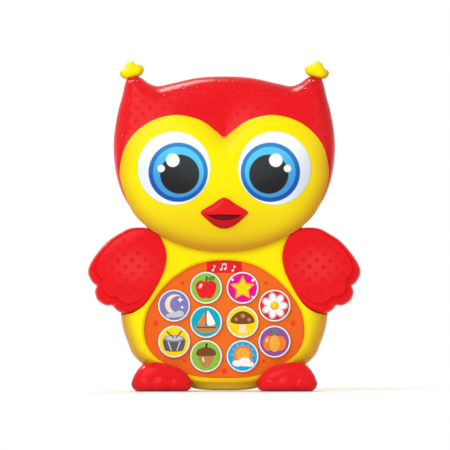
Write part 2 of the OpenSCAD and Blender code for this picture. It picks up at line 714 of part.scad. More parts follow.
module tassel() {
    mid = [tassel_at.x + 0.5 * tassel_w, tassel_at.y + 0.48 * tassel_h];
    steps = [[0.5, 0.44], [0.82, 0.3], [1, 0.1], [1, -0.1], [0.82, -0.3], [0.5, -0.44]];
    color("#FFF200") difference() {
        cap_skin(
            [for (s = steps) at_y(scaled(tassel_outline, mid, s[0]), s[1] * tassel_t)],
            [mid.x, tassel_t / 2, mid.y], [mid.x, -tassel_t / 2, mid.y]
        );
        plate(hood_cut, tassel_t, -tassel_t);
    }
}
module ear_tassel_right() { tassel(); }
module ear_tassel_left() { mirror([1, 0, 0]) tassel(); }

// Belly panel, its printed sheet and the key stack
module key_holes(d, y_back, y_front) {
    for (p = key_spots) facing(p.x, y_back, p.y) cylinder(d = d, h = y_back - y_front);
}
module belly_panel() {
    color("#F36F21") difference() {
        union() {
            plate(grow(belly_outline, ledge_w - fit), -panel_back, -panel_y);
            for (p = post_spots)
                facing(p.x, -board_y, p.y) cylinder(d = post_d, h = panel_back - board_y + 1);
        }
        key_holes(key_hole_d, 1 - panel_back, -panel_y - 1);
        for (p = post_spots) facing(p.x, 1 - board_y, p.y)
            cylinder(d = board_screw_d + 2 * pilot_fit, h = board_screw_len - board_t + 1.5);
    }
}
module belly_label() {
    color("#F47B20") difference() {
        plate(grow(belly_outline, -fit), -panel_y, -panel_y - label_t);
        key_holes(key_hole_d, 1 - panel_y, -panel_y - label_t - 1);
    }
}
module key(i) {
    r = key_d / 2;
    tip = panel_y + key_proud - flange_y + flange_t;
    flat = (inner_pitch - fit) / 2;
    color("white") facing(key_spots[i].x, flange_t - flange_y, key_spots[i].y) difference() {
        rotate_extrude() polygon([
            [0, 0], [r + flange_w, 0], [r + flange_w, flange_t], [r, flange_t], [r, tip - key_rim / 2],
            [r - key_rim / 2, tip], [0, tip]
        ]);
        translate([0, 0, tip - picture_t]) cylinder(r = r - key_rim, h = picture_t + 1);
        for (s = [0, 1]) mirror([0, s, 0]) box([-key_d, flat, -1], [key_d, key_d, flange_t + 1]);
    }
}
picture_colors = ["#8CC63F", "#EC008C", "#837DBE", "#ED1C24", "#00AEC7", "#FFDE00", "#FFDE00", "#9253A1",
    "#8CC63F", "#00AEEF"];
module picture(i) {
    y = panel_y + key_proud - picture_t;
    color(picture_colors[i]) facing(key_spots[i].x, -y, key_spots[i].y)
        cylinder(r = key_d / 2 - key_rim - pilot_fit, h = picture_t);
}
module key_mat() {
    foot_d = 0.72 * key_d;
    skin = 0.7;
    color("#D8D8D0") difference() {
        union() {
            plate(grow(belly_outline, -ledge_w), -board_y, -mat_y);
            for (p = key_spots) facing(p.x, -mat_y, p.y) cylinder(d1 = foot_d, d2 = 0.7 * foot_d, h = dome_h);
        }
        for (p = key_spots) facing(p.x, -board_y, p.y)
            cylinder(d1 = foot_d, d2 = 0.7 * foot_d - 2 * skin, h = dome_h + mat_t - skin);
        for (p = post_spots) facing(p.x, 1 - board_y, p.y) cylinder(d = post_d + 2 * fit, h = mat_t + 2);
    }
}
module circuit_board() {
    color("#2E7D46") difference() {
        plate(grow(belly_outline, -ledge_w / 2), -board_back, -board_y);
        for (p = post_spots) facing(p.x, 1 - board_back, p.y)
            cylinder(d = board_screw_d + 2 * fit, h = board_t + 2);
    }
}
module sound_chip() {
    chip_d = 0.6 * key_d;
    chip_h = board_t;
    ball = 1.05 * chip_d;
    color("#202020") rearward(0, -board_back, pad_z) intersection() {
        cylinder(d = chip_d, h = chip_h);
        translate([0, 0, chip_h - ball]) sphere(r = ball);
    }
}
module board_screws() {
    color("silver") for (p = post_spots) facing(p.x, -board_back, p.y) {
        cylinder(d = board_screw_d, h = board_screw_len);
        translate([0, 0, -1.2]) cylinder(d = 2 * board_screw_d, h = 1.2);
    }
}
module case_screws() {
    color("silver") for (p = screw_spots) facing(p.x, screw_seat, p.y) {
        cylinder(d = screw_d, h = screw_len);
        translate([0, 0, -screw_head_h]) cylinder(d = screw_head_d, h = screw_head_h);
    }
}

// Speaker behind the grille, drawn forward from the cover's back wall
module speaker_frame() {
    r = speaker_d / 2;
    color("#3A3A3C") facing(0, back_in, speaker_z) rotate_extrude() polygon([
        [r - 3, 0], [r, 0], [r, 1.2], [r - 1, 1.2], [plate_d / 2, cup_depth - 1], [plate_d / 2, cup_depth],
        [0, cup_depth], [0, cup_depth - 1], [plate_d / 2 - 1, cup_depth - 1], [r - 2.2, 1.2]
    ]);
}
module speaker_cone() {
    r = speaker_d / 2 - 3 - fit;
    color("#252525") facing(0, back_in, speaker_z) rotate_extrude() polygon([
        [0, 1.4], [0.35 * r, 2.6], [r - 1.5, 0.8], [r, 0.8], [r, 1.2], [r - 1.4, 1.2], [0.4 * r, 4.4],
        [0, 4.4]
    ]);
}
module speaker_magnet() {
    color("#8A8D90") facing(0, back_in - cup_depth, speaker_z) cylinder(d = magnet_d, h = magnet_t);
}

// Battery pack
function cell_z(i) = bay_z + (i - (cell_count - 1) / 2) * (cell_d + cell_gap);
function cell_way(i) = i % 2 == 0 ? 1 : -1;
nub_h = 1;
contact_t = 0.5;
touch = 0.15;
module along_cell(i) {
    translate([0, cell_y, cell_z(i)]) rotate([0, 90 * cell_way(i), 0]) children();
}
module battery_cells() {
    color("#B8BCC2") for (i = [0 : cell_count - 1]) along_cell(i) {
        translate([0, 0, -cell_len / 2]) cylinder(d = cell_d, h = cell_len - nub_h);
        translate([0, 0, cell_len / 2 - nub_h]) cylinder(d = 0.36 * cell_d, h = nub_h);
    }
}
module contact_plates() {
    color("#C9CCD0") for (i = [0 : cell_count - 1]) along_cell(i) {
        translate([-0.35 * cell_d, -0.35 * cell_d, bay_w / 2 - contact_t])
            cube([0.7 * cell_d, 0.7 * cell_d, contact_t]);
        translate([0, 0, cell_len / 2 + touch]) cylinder(d = 4, h = contact_room - touch - contact_t / 2);
    }
}
module contact_springs() {
    half = 0.35 * cell_d;
    leaf = contact_room - touch;
    color("#C9CCD0") for (i = [0 : cell_count - 1]) along_cell(i) translate([0, 0, -bay_w / 2])
        rotate([90, 0, 0]) translate([0, 0, -half / 2]) linear_extrude(half) polygon([
            [-half, 0], [half, 0], [half, contact_t], [contact_t - half, contact_t], [0, leaf - contact_t],
            [half, leaf - 2.5 * contact_t], [half, leaf - 1.5 * contact_t], [0, leaf], [-half, contact_t]
        ]);
}
module battery_door() {
    grip_d = 12;
    color("#FFE600") difference() {
        box([fit - opening_w / 2, door_seat + fit, opening_low + fit],
            [opening_w / 2 - fit, back_depth, opening_top - fit]);
        rearward(0, door_seat, door_screw_z) cylinder(d = door_screw_d + 2 * pilot_fit, h = 2 * door_t);
        rearward(0, back_depth - door_head_h, door_screw_z) cylinder(d = door_head_d + 2 * fit, h = door_t);
        for (k = [0 : 3]) box([-grip_d / 2, back_depth - 0.6, opening_top - 4 - 2 * k],
            [grip_d / 2, back_depth + 1, opening_top - 3 - 2 * k]);
    }
}
module door_screw() {
    color("silver") rearward(0, back_depth - door_head_h, door_screw_z) {
        cylinder(d = door_head_d, h = door_head_h);
        translate([0, 0, -door_screw_len]) cylinder(d = door_screw_d, h = door_screw_len);
    }
}

// Power switch
module power_switch() {
    half = slot_w / 2 + 1.2;
    color("#303030") difference() {
        box([-half, switch_y - switch_t, switch_z - slot_h / 2 - 1.5],
            [half, switch_y, switch_z + slot_h / 2 + 1.5]);
        box([-slot_w / 2, switch_y - switch_slot, switch_z - slot_h / 2],
            [slot_w / 2, switch_y + 1, switch_z + slot_h / 2]);
    }
}
module power_knob() {
    color("#ED1C24") {
        box([-knob_w / 2, recess_floor + fit, switch_z - knob_h / 2],
            [knob_w / 2, recess_floor + fit + knob_t, switch_z + knob_h / 2]);
        box([-stem_w / 2, switch_y - switch_slot + fit, switch_z - stem_h / 2],
            [stem_w / 2, recess_floor + fit + knob_t / 2, switch_z + stem_h / 2]);
    }
}

// Wires: one tube along a route, whose bends lie about square to the axis given
function unit(v) = v / norm(v);
function tube_ring(p, t, axis) = let (u = unit(cross(t, axis)), v = cross(u, t))
    [for (k = [0 : 7]) p + wire_d / 2 * (cos(45 * k) * u + sin(45 * k) * v)];
module wire(p, axis) {
    last = len(p) - 1;
    runs = [for (i = [1 : last]) unit(p[i] - p[i - 1])];
    ways = [for (i = [0 : last]) unit(runs[max(i - 1, 0)] + runs[min(i, last - 1)])];
    cap_skin([for (i = [0 : last]) tube_ring(p[i], ways[i], axis)], p[0], p[last]);
}
wire_bend = 3;
wire_lane = 5;
wire_inset = 10;
module speaker_wires() {
    top = speaker_z - (magnet_d + plate_d) / 4;
    low = belly_z + belly_h - wire_inset;
    color("#C0392B") for (x = [-0.8, 0.8] * wire_bend) wire([
        [x, -board_back, low], [x, 0, low], [x, 0.6 * wire_lane, low + 0.7 * wire_bend],
        [x, wire_lane, low + 2 * wire_bend], [x, wire_lane, top - 2 * wire_bend],
        [x, wire_lane + 0.4 * wire_bend, top - 0.5 * wire_bend], [x, wire_lane + wire_bend, top],
        [x, back_in - cup_depth, top]
    ], [1, 0, 0]);
}
module battery_wires() {
    half = opening_w / 2 + frame_w;
    start = bay_floor + wire_bend;
    side = half + 2.4 * wire_bend;
    color("#222222") for (z = [bay_z + wire_bend, bay_z + 2 * wire_bend]) wire([
        [half, start, z], [half + wire_bend, start, z],
        [half + 2 * wire_bend, start - 0.5 * wire_bend, z - 1],
        [side, start - 1.7 * wire_bend, z - 2], [side, 0, z - wire_bend], [side, -board_back, z - wire_bend]
    ], [0, 0, 1]);
}

function numbered(name) = [for (i = indices(key_spots)) str(name, i < 9 ? "0" : "", i + 1)];
key_names = numbered("key_");
picture_names = numbered("picture_");
hood_front();
face_mask();
eye_left();
eye_right();
beak();
ear_tassel_left();
ear_tassel_right();
body_front();
rear_cover();
wing_left();
wing_right();
foot_left();
foot_right();
belly_panel();
belly_label();
key_mat();
circuit_board();
sound_chip();
board_screws();
case_screws();
speaker_frame();
speaker_cone();
speaker_magnet();
battery_cells();
contact_plates();
contact_springs();
battery_door();
door_screw();
power_switch();
power_knob();
speaker_wires();
battery_wires();
for (i = indices(key_spots)) {
    key(i);
    picture(i);
}
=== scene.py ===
"""Looks of the musical owl toy: gloss moulded shells, printed eyes and picture keys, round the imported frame.

Shapes are worked out in millimetres, with +Z up and the owl facing -Y.
Points turn to metres when a mesh is made of them.
"""

import math

import bmesh
import bpy
import numpy as np
from mathutils.bvhtree import BVHTree
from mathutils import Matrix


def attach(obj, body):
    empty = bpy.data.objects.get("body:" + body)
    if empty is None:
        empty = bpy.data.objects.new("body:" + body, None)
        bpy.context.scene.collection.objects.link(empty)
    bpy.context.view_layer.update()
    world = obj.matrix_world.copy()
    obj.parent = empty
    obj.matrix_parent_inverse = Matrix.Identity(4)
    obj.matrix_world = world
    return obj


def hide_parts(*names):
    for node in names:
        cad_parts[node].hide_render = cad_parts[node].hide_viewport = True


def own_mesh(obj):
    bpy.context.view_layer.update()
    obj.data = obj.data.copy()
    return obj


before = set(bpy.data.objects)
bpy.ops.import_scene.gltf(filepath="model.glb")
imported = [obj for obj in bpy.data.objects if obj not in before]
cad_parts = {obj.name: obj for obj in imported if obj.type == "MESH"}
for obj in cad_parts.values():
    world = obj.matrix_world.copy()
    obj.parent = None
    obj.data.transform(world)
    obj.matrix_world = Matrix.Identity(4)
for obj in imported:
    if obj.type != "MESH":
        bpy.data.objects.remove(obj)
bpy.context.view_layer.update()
MM = 0.001

# Sizes of the moulded pieces, as in the solids but for the toes
HEAD_W, HEAD_H, CHIN_Z, HEAD_RISE = 127.2, 99.8, 81.5, 44.5
HOOD_DEPTH, EAR_BACK = 15.2, 4
FACE_W, FACE_H, FACE_DROP, FACE_RIM, FACE_EDGE, FACE_DEPTH = 120.4, 78.6, 1.2, 13.3, 2.3, 23
EYE_D, EYE_X, EYE_RISE, EYE_PROUD = 42.2, 28.6, 46.7, 0.5
EYE_EDGE, EYE_DOME, EYE_YAW, EYE_PITCH = 3.4, 1.6, 5.2, 1.4
BEAK_W, BEAK_H, BEAK_RISE, BEAK_DEPTH, BEAK_ROOT, MOUTH_W, MOUTH_H = 27, 17.8, 12, 25.5, 3, 20, 3.5
BODY_W, BODY_H, BODY_LIFT, BODY_DEPTH, BACK_DEPTH, EDGE_ROUND = 119, 97.6, 0.4, 13, 25.5, 11
BELLY_W, BELLY_H, BELLY_RISE, BEVEL_W, PANEL_RECESS = 92.2, 67.9, 7.1, 1.6, 2.6
WING_W, WING_H, WING_X, WING_Z, WING_T, WING_STEP = 45.1, 49.9, 33.4, 44.5, 15.6, 2.2
FOOT_W, FOOT_H, FOOT_X, FOOT_FRONT, FOOT_BACK, FOOT_ROUND, TOE_CREASE = 35.1, 16.8, 18.4, 25.5, 21, 10, 1.7
TASSEL_W, TASSEL_H, TASSEL_T = 14.4, 11.2, 9
WALL, FIT = 2.2, 0.3
# Pieces that never move meet closer to the eye than in the solids
SEAM = 0.08


# Outlines: arrays of [x, z] points, clockwise as seen from the front
def smooth(points, steps=12):
    """A closed curve through the points, with steps from one to the next."""
    p = np.array(points, float)
    t = (np.arange(steps) / steps)[None, :, None]
    a, b, c, d = (np.roll(p, k, axis=0)[:, None, :] for k in (1, 0, -1, -2))
    bend = 2 * a - 5 * b + 4 * c - d
    twist = 3 * b - a - 3 * c + d
    return ((2 * b + (c - a) * t + bend * t ** 2 + twist * t ** 3) / 2).reshape(-1, 2)


def even(outline, count):
    """The same closed outline with count points at equal steps along it."""
    loop = np.vstack([outline, outline[:1]])
    run = np.concatenate([[0], np.cumsum(np.linalg.norm(np.diff(loop, axis=0), axis=1))])
    at = np.linspace(0, run[-1], count, endpoint=False)
    return np.stack([np.interp(at, run, loop[:, k]) for k in (0, 1)], axis=1)


def both_sides(half):
    """A closed outline from its right half, listed from the top down."""
    return list(half) + [(-x, z) for x, z in reversed(half) if x > 0.01]


def placed(shape, size, at):
    """A unit shape at its size and place."""
    return [(at[0] + x * size[0], at[1] + z * size[1]) for x, z in shape]


def grow(outline, d):
    """The outline moved outward by d."""
    t = np.roll(outline, -1, axis=0) - np.roll(outline, 1, axis=0)
    return outline + d * np.stack([-t[:, 1], t[:, 0]], axis=1) / np.linalg.norm(t, axis=1)[:, None]


def headings(outline, mid):
    """Angles at which the outline's points lie round mid."""
    return np.arctan2(outline[:, 1] - mid[1], outline[:, 0] - mid[0])


def reach(outline, mid, angles):
    """Distance from mid to the outline's nearest edge, along each angle."""
    u = outline - mid
    e = np.roll(outline, -1, axis=0) - outline
    dx, dz = np.cos(angles)[:, None], np.sin(angles)[:, None]
    k = dx * e[:, 1] - dz * e[:, 0]
    k = np.where(np.abs(k) < 1e-9, 1e-9, k)
    far = (u[:, 0] * e[:, 1] - u[:, 1] * e[:, 0]) / k
    along = (u[:, 0] * dz - u[:, 1] * dx) / k
    return np.where((far > 0) & (along >= 0) & (along <= 1), far, np.inf).min(axis=1)


def distance(points, outline):
    """Least distance from each [x, z] point to the outline."""
    best = np.full(points.shape[:-1], np.inf)
    for a, b in zip(outline, np.roll(outline, -1, axis=0)):
        along = np.clip(((points - a) @ (b - a)) / max((b - a) @ (b - a), 1e-12), 0, 1)
        best = np.minimum(best, np.linalg.norm(points - a - along[..., None] * (b - a), axis=-1))
    return best


def clearance(points, outline, count=1600):
    """Distance to the outline, drawn from all its points, so that it stays smooth between two sides."""
    dense = even(outline, count)
    step = np.linalg.norm(dense[1] - dense[0])
    far = [((row[:, None] - dense) ** 2).sum(axis=-1) + 1e-9 for row in points]
    return np.array([(step * (square ** -2.0).sum(axis=-1) * 2 / math.pi) ** (-1 / 3) for square in far])


def inside(points, outline):
    """True for each [x, z] point within the outline."""
    x, z = points[..., 0], points[..., 1]
    count = np.zeros(x.shape, int)
    for (ax, az), (bx, bz) in zip(outline, np.roll(outline, -1, axis=0)):
        if az != bz:
            count += ((az > z) != (bz > z)) & (x < ax + (z - az) * (bx - ax) / (bz - az))
    return count % 2 == 1


def around(count):
    """Angles in equal steps once round."""
    return np.linspace(0, 2 * math.pi, count, endpoint=False)


def fan(mid, angles, radii):
    """Points at those angles and radii round mid."""
    return np.array(mid) + np.stack([radii * np.cos(angles), radii * np.sin(angles)], axis=-1)


def scaled(outline, mid, s):
    """The outline drawn in towards mid, to the share s of its size."""
    return np.array(mid) + (outline - mid) * s


def at_y(outline, y):
    """The outline set at depth y, which is one value or one for each point."""
    return np.stack([outline[..., 0], np.broadcast_to(y, outline.shape[:-1]), outline[..., 1]], axis=-1)


def mix(a, b, t):
    """The value at the share t of the way from a to b."""
    return a + (b - a) * t


def ease(t):
    """0 to 1 with a soft start and end."""
    u = np.clip(t, 0, 1)
    return u * u * (3 - 2 * u)


def head_at(u, v):
    """A place on the head, in shares of its half width and of its height."""
    return u * HEAD_W / 2, CHIN_Z + v * HEAD_H


def body_at(u, v):
    """A place on the body, in shares of its half width and of its height."""
    return u * BODY_W / 2, BODY_LIFT + v * BODY_H


HEAD_MID = np.array([0, CHIN_Z + HEAD_RISE])
HOOD = smooth(both_sides([head_at(u, v) for u, v in [
    (0, 1), (0.238, 0.992), (0.475, 0.96), (0.6, 0.944), (0.689, 0.962), (0.759, 0.994), (0.83, 0.998),
    (0.89, 0.976), (0.924, 0.891), (0.968, 0.785), (1, 0.65), (1, 0.529), (0.968, 0.403), (0.897, 0.287),
    (0.79, 0.204), (0.625, 0.13), (0.435, 0.055), (0.222, 0.011), (0, 0)]]))
FACE = smooth(both_sides(placed([
    (0, 0.838), (0.077, 0.882), (0.232, 0.963), (0.455, 1), (0.676, 0.963), (0.846, 0.875), (0.953, 0.757),
    (1, 0.6), (0.985, 0.5), (0.931, 0.378), (0.848, 0.262), (0.697, 0.159), (0.473, 0.067), (0.238, 0.014),
    (0, 0)], (FACE_W / 2, FACE_H), (0, CHIN_Z - FACE_DROP))))
SHELL = smooth(both_sides([head_at(u, v) for u, v in [
    (0, 0.995), (0.3, 0.978), (0.54, 0.935), (0.74, 0.862), (0.89, 0.765), (0.965, 0.655), (0.985, 0.54),
    (0.95, 0.41), (0.87, 0.29), (0.745, 0.195)]] + [body_at(u, v) for u, v in [
        (0.75, 0.925), (0.845, 0.8), (0.95, 0.65), (0.992, 0.53), (1, 0.44), (0.98, 0.36), (0.935, 0.28),
        (0.882, 0.208), (0.765, 0.144), (0.571, 0.097), (0.42, 0.045), (0.3, 0.012), (0.15, 0.001), (0, 0)]]))
BELLY_Z = BODY_LIFT + BELLY_RISE
BELLY_MID = np.array([0, BELLY_Z + BELLY_H / 2])
BELLY = smooth(both_sides(placed([
    (0, 1), (0.336, 0.966), (0.605, 0.865), (0.768, 0.763), (0.881, 0.661), (0.961, 0.56), (1, 0.433),
    (0.98, 0.305), (0.894, 0.203), (0.716, 0.115), (0.399, 0.021), (0, 0)],
    (BELLY_W / 2, BELLY_H), (0, BELLY_Z))))
WING = smooth(placed([
    (0.38, 0.996), (0.48, 0.983), (0.58, 0.938), (0.74, 0.844), (0.876, 0.71), (0.98, 0.563), (0.998, 0.455),
    (0.942, 0.358), (0.895, 0.319), (0.913, 0.251), (0.885, 0.165), (0.815, 0.112), (0.745, 0.09),
    (0.694, 0.094), (0.629, 0.034), (0.528, 0), (0.405, 0.022), (0.26, 0.122), (0.123, 0.32), (0.027, 0.511),
    (0, 0.68), (0.045, 0.83), (0.12, 0.93), (0.24, 0.987)], (WING_W, WING_H), (WING_X, WING_Z)))
FOOT = smooth(placed([
    (0, 0.29), (0.077, 0.565), (0.228, 0.804), (0.43, 0.946), (0.641, 1), (0.812, 0.905), (0.94, 0.607),
    (1, 0.29), (0.994, 0.19), (0.972, 0.095), (0.93, 0.025), (0.87, -0.01), (0.5, -0.02), (0.13, -0.01),
    (0.07, 0.025), (0.028, 0.095), (0.006, 0.19)], (FOOT_W, FOOT_H), (FOOT_X, 0)))
EAR_TIP = np.array(head_at(0.83, 0.998))
TASSEL_AT = EAR_TIP - (0.45 * TASSEL_W, 0.12 * TASSEL_H)
TASSEL = smooth(placed([
    (0.41, 0.05), (0.18, 0.15), (0.05, 0.29), (0, 0.48), (0.03, 0.63), (0.11, 0.72), (0.2, 0.755),
    (0.29, 0.75), (0.35, 0.81), (0.42, 0.9), (0.505, 0.935), (0.58, 0.91), (0.655, 0.86), (0.715, 0.79),
    (0.745, 0.69), (0.78, 0.58), (0.85, 0.52), (0.93, 0.435), (0.975, 0.32), (0.955, 0.2), (0.885, 0.085),
    (0.765, 0), (0.635, -0.015)], (TASSEL_W, TASSEL_H), TASSEL_AT))
BEAK_Z = CHIN_Z + BEAK_RISE
BEAK = smooth(both_sides(placed([
    (0, 1), (0.19, 0.95), (0.47, 0.8), (0.89, 0.61), (1, 0.52), (0.9, 0.41), (0.5, 0.14), (0.19, 0.02),
    (0, 0)], (BEAK_W / 2, BEAK_H), (0, BEAK_Z))))
# Outlines to which the neighbours of the face, the hood and the wings are cut back
HEAD_CUT = grow(FACE, SEAM)
HOOD_CUT = grow(HOOD, SEAM)
WING_CUT = grow(WING, SEAM)


# Meshes
def build(name, points, faces):
    """An object from points in millimetres and faces, with its faces turned outward."""
    mesh = bpy.data.meshes.new(name)
    mesh.from_pydata((np.asarray(points) * MM).tolist(), [], faces)
    work = bmesh.new()
    work.from_mesh(mesh)
    bmesh.ops.remove_doubles(work, verts=work.verts, dist=1e-7)
    bmesh.ops.recalc_face_normals(work, faces=work.faces)
    work.to_mesh(mesh)
    work.free()
    piece = bpy.data.objects.new(name, mesh)
    bpy.context.scene.collection.objects.link(piece)
    return piece


def lofted(rings, loop=False):
    """Points and faces of a solid through closed rings of equal count, capped or joined into a loop."""
    rings = np.array(rings)
    m, n = rings.shape[:2]
    k, i = np.mgrid[0:m if loop else m - 1, 0:n]
    j = (i + 1) % n
    above = (k + 1) % m
    faces = np.stack([k * n + i, k * n + j, above * n + j, above * n + i], axis=-1).reshape(-1, 4).tolist()
    if not loop:
        faces += [list(range(n))[::-1], list(range((m - 1) * n, m * n))]
    return rings.reshape(-1, 3), faces


def loft(name, rings, loop=False):
    """An object through closed rings."""
    return build(name, *lofted(rings, loop))


def prism(outline, y_back, y_front):
    """A straight solid with the outline, from one depth to the other."""
    return loft("tool", [at_y(outline, y_back), at_y(outline, y_front)])


def block(low, high):
    """A box between two corners."""
    (x0, y0, z0), (x1, y1, z1) = low, high
    return prism(np.array([(x0, z1), (x1, z1), (x1, z0), (x0, z0)]), y1, y0)


def circle(x, z, r, count=48):
    """A round outline."""
    return fan((x, z), -around(count), r)


def joined(name, objects):
    """One object from several, which are removed."""
    points, faces = [], []
    for o in objects:
        start = len(points)
        points += [tuple(v.co / MM) for v in o.data.vertices]
        faces += [[start + i for i in p.vertices] for p in o.data.polygons]
        bpy.data.objects.remove(o)
    return build(name, points, faces)


def cut(piece, *tools):
    """Cuts the tools' solids out of the piece and removes the tools."""
    for tool in tools:
        step = piece.modifiers.new("cut", "BOOLEAN")
        step.operation = "DIFFERENCE"
        step.solver = "EXACT"
        step.object = tool
    carved = bpy.data.meshes.new_from_object(piece.evaluated_get(bpy.context.evaluated_depsgraph_get()))
    piece.modifiers.clear()
    piece.data = carved
    for tool in tools:
        bpy.data.objects.remove(tool)
    return piece


def place(piece, material, node=None, body="owl", sharp=32):
    """Gives the piece its finish and smooth faces, hides the solid it stands in for and hangs it on the body
    that it moves with.
    """
    if not piece.data.materials:
        piece.data.materials.append(material)
    piece.data.polygons.foreach_set("use_smooth", [True] * len(piece.data.polygons))
    piece.data.set_sharp_from_angle(angle=math.radians(sharp))
    if node:
        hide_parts(node)
    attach(piece, body)
    return piece


def paint_light_and_shade(piece, values):
    """Keeps, for each point of the piece, how far its colour goes to the deep tone: painted shade, or on the
    wings the plain red round a painted sheen.
    """
    layer = piece.data.attributes.new("deep", "FLOAT", "POINT")
    layer.data.foreach_set("value", np.clip(values, 0, 1).astype(float).tolist())


def corners(piece):
    """The piece's points in millimetres."""
    return np.array([v.co for v in piece.data.vertices]) / MM


# Materials
def srgb(code):
    """A colour written as sRGB hex, as linear RGBA."""
    parts = [int(code[i:i + 2], 16) / 255 for i in (1, 3, 5)]
    return [c / 12.92 if c <= 0.04045 else ((c + 0.055) / 1.055) ** 2.4 for c in parts] + [1.0]


def per_mm(size):
    """Texture scale whose features are about size millimetres."""
    return 1 / (size * MM)


def node(tree, kind, inputs=(), **settings):
    """Adds a node with its settings, and its inputs as values or as links from other nodes' outputs."""
    made = tree.nodes.new(kind)
    for key, value in settings.items():
        setattr(made, key, value)
    for socket, value in dict(inputs).items():
        if isinstance(value, bpy.types.NodeSocket):
            tree.links.new(value, made.inputs[socket])
        else:
            made.inputs[socket].default_value = value
    return made


def surface(name, **shader):
    """A material with one principled shader. Returns the material, its tree and the shader."""
    material = bpy.data.materials.new(name)
    material.use_nodes = True
    tree = material.node_tree
    tree.nodes.clear()
    bsdf = node(tree, "ShaderNodeBsdfPrincipled", {k.replace("_", " "): v for k, v in shader.items()})
    node(tree, "ShaderNodeOutputMaterial", {"Surface": bsdf.outputs[0]})
    return material, tree, bsdf


def grained(tree, bsdf, colour, cloud, rough, grain_mm, lift_mm, cloud_mm=22):
    """Colour that drifts slightly to the cloud tone, roughness that wanders and a fine moulded grain."""
    where = node(tree, "ShaderNodeTexCoord").outputs["Object"]
    drift = node(tree, "ShaderNodeTexNoise", {"Vector": where, "Scale": per_mm(cloud_mm), "Detail": 3.0})
    amount = node(tree, "ShaderNodeMapRange", {0: drift.outputs[0], 1: 0.42, 2: 0.72, 3: 0.0, 4: 1.0})
    tone = node(tree, "ShaderNodeMix", {0: amount.outputs[0], 6: colour, 7: cloud}, data_type="RGBA")
    grain = node(tree, "ShaderNodeTexNoise", {"Vector": where, "Scale": per_mm(grain_mm), "Detail": 4.0})
    polish = node(tree, "ShaderNodeMapRange", {0: grain.outputs[0], 1: 0.3, 2: 0.7, 3: rough[0], 4: rough[1]})
    relief = {"Height": grain.outputs[0], "Distance": lift_mm * MM, "Strength": 1.0}
    peel = node(tree, "ShaderNodeBump", relief)
    tree.links.new(polish.outputs[0], bsdf.inputs["Roughness"])
    tree.links.new(peel.outputs[0], bsdf.inputs["Normal"])
    return tone.outputs[2]


def finish(name, colour, cloud, rough, grain_mm, lift_mm, cloud_mm=22, deep=None, **shader):
    """A grained material, toned deeper, as painted shade, where the piece says so."""
    material, tree, bsdf = surface(name, **shader)
    tone = grained(tree, bsdf, srgb(colour), srgb(cloud), rough, grain_mm, lift_mm, cloud_mm)
    if deep:
        share = node(tree, "ShaderNodeAttribute", attribute_name="deep").outputs["Fac"]
        tone = node(tree, "ShaderNodeMix", {0: share, 6: tone, 7: srgb(deep)}, data_type="RGBA").outputs[2]
    tree.links.new(tone, bsdf.inputs["Base Color"])
    return material


def moulded(name, colour, cloud, deep=None, rough=(0.2, 0.26), grain_mm=2.2, lift_mm=0.004):
    """Moulded plastic: an even gloss with a faint orange peel."""
    return finish(name, colour, cloud, rough, grain_mm, lift_mm, deep=deep, IOR=1.53, Specular_IOR_Level=0.1)


# Gloss moulded ABS: one even dye through the wall, a soft shine and a faint orange peel from the mould
# The deep tones given here are painted shade, laid on as far as a piece's deep share says
red_abs = moulded("red_abs_moulded", "#E8121A", "#EA1B22", deep="#A50D14")
# The same dye painted paler in the middle of the wings as a painted sheen, with the plain red as its deep tone
painted_sheen_red = moulded("red_abs_painted_sheen", "#EB2E31", "#EC3437", deep="#E8121A")
# Yellow ABS, whose golden deep tone is painted shade
yellow_abs = moulded("yellow_abs_moulded", "#FFED00", "#FFE900", deep="#D0961E")
# Dark red for inside the mouth, painted shade for its hollow
mouth_painted_shade_red = moulded("mouth_red_abs_moulded", "#8C1016", "#7A0D13", rough=(0.4, 0.5))
orange_abs = moulded("orange_abs_moulded", "#F26A21", "#F5761F", rough=(0.3, 0.42))
white_abs = moulded("white_abs_moulded", "#FBFBF8", "#F3F3EE", rough=(0.18, 0.28))
# Spark-eroded moulds leave a dull, finely grained black
black_abs = moulded("black_abs_sparked", "#1C1C1E", "#262629", rough=(0.5, 0.65), grain_mm=0.35, lift_mm=0.03)
# Cast silicone: milky, soft and dull
silicone = moulded("silicone_cast", "#D9D8CF", "#CFCEC4", rough=(0.55, 0.7), grain_mm=0.5, lift_mm=0.02)
# PVC sleeves on the leads: bright and slightly waxy
lead_pvc = moulded("lead_pvc_extruded", "#B52A24", "#A5231F", rough=(0.35, 0.45), grain_mm=0.6, lift_mm=0.01)


def metal(name, *look):
    """Bare or plated metal: a tinted mirror dulled by fine marks."""
    return finish(name, *look, cloud_mm=6, Metallic=1.0)


# Zinc-plated steel of the screws, with drawn marks too fine to show, so they are drawn 0.4 mm wide
screw_zinc = metal("screw_steel_zinc_plated", "#C9CBCD", "#AEB2B8", (0.25, 0.42), 0.4, 0.01)
# Pressed steel keeps a grey skin with faint draw marks
speaker_steel = metal("speaker_basket_pressed_steel", "#6A6D70", "#5C5F63", (0.32, 0.46), 0.8, 0.01)
# Nickel plate is warmer and brighter than zinc
contact_nickel = metal("contact_strip_nickel_plated", "#D6D2C8", "#C3BEB2", (0.2, 0.34), 0.5, 0.008)


def dull(name, *look):
    """Pressed, painted or cast stuff, with the plain shine of a non-metal."""
    return finish(name, *look, cloud_mm=5, IOR=1.5)


# Pulp fibres give the cone a felted grey; pressed ferrite is matt with small pits
cone_paper = dull("speaker_cone_pressed_paper", "#2A2A2C", "#3A3A3B", (0.75, 0.9), 0.5, 0.06)
magnet_ferrite = dull("magnet_sintered_ferrite", "#4A4B4E", "#3B3C40", (0.55, 0.7), 0.6, 0.03)
# Solder mask over copper: a clear green coat with paler tracks below
board_mask = dull("board_glass_epoxy_masked", "#1F6B3A", "#2F8A4C", (0.25, 0.4), 1.4, 0.02)
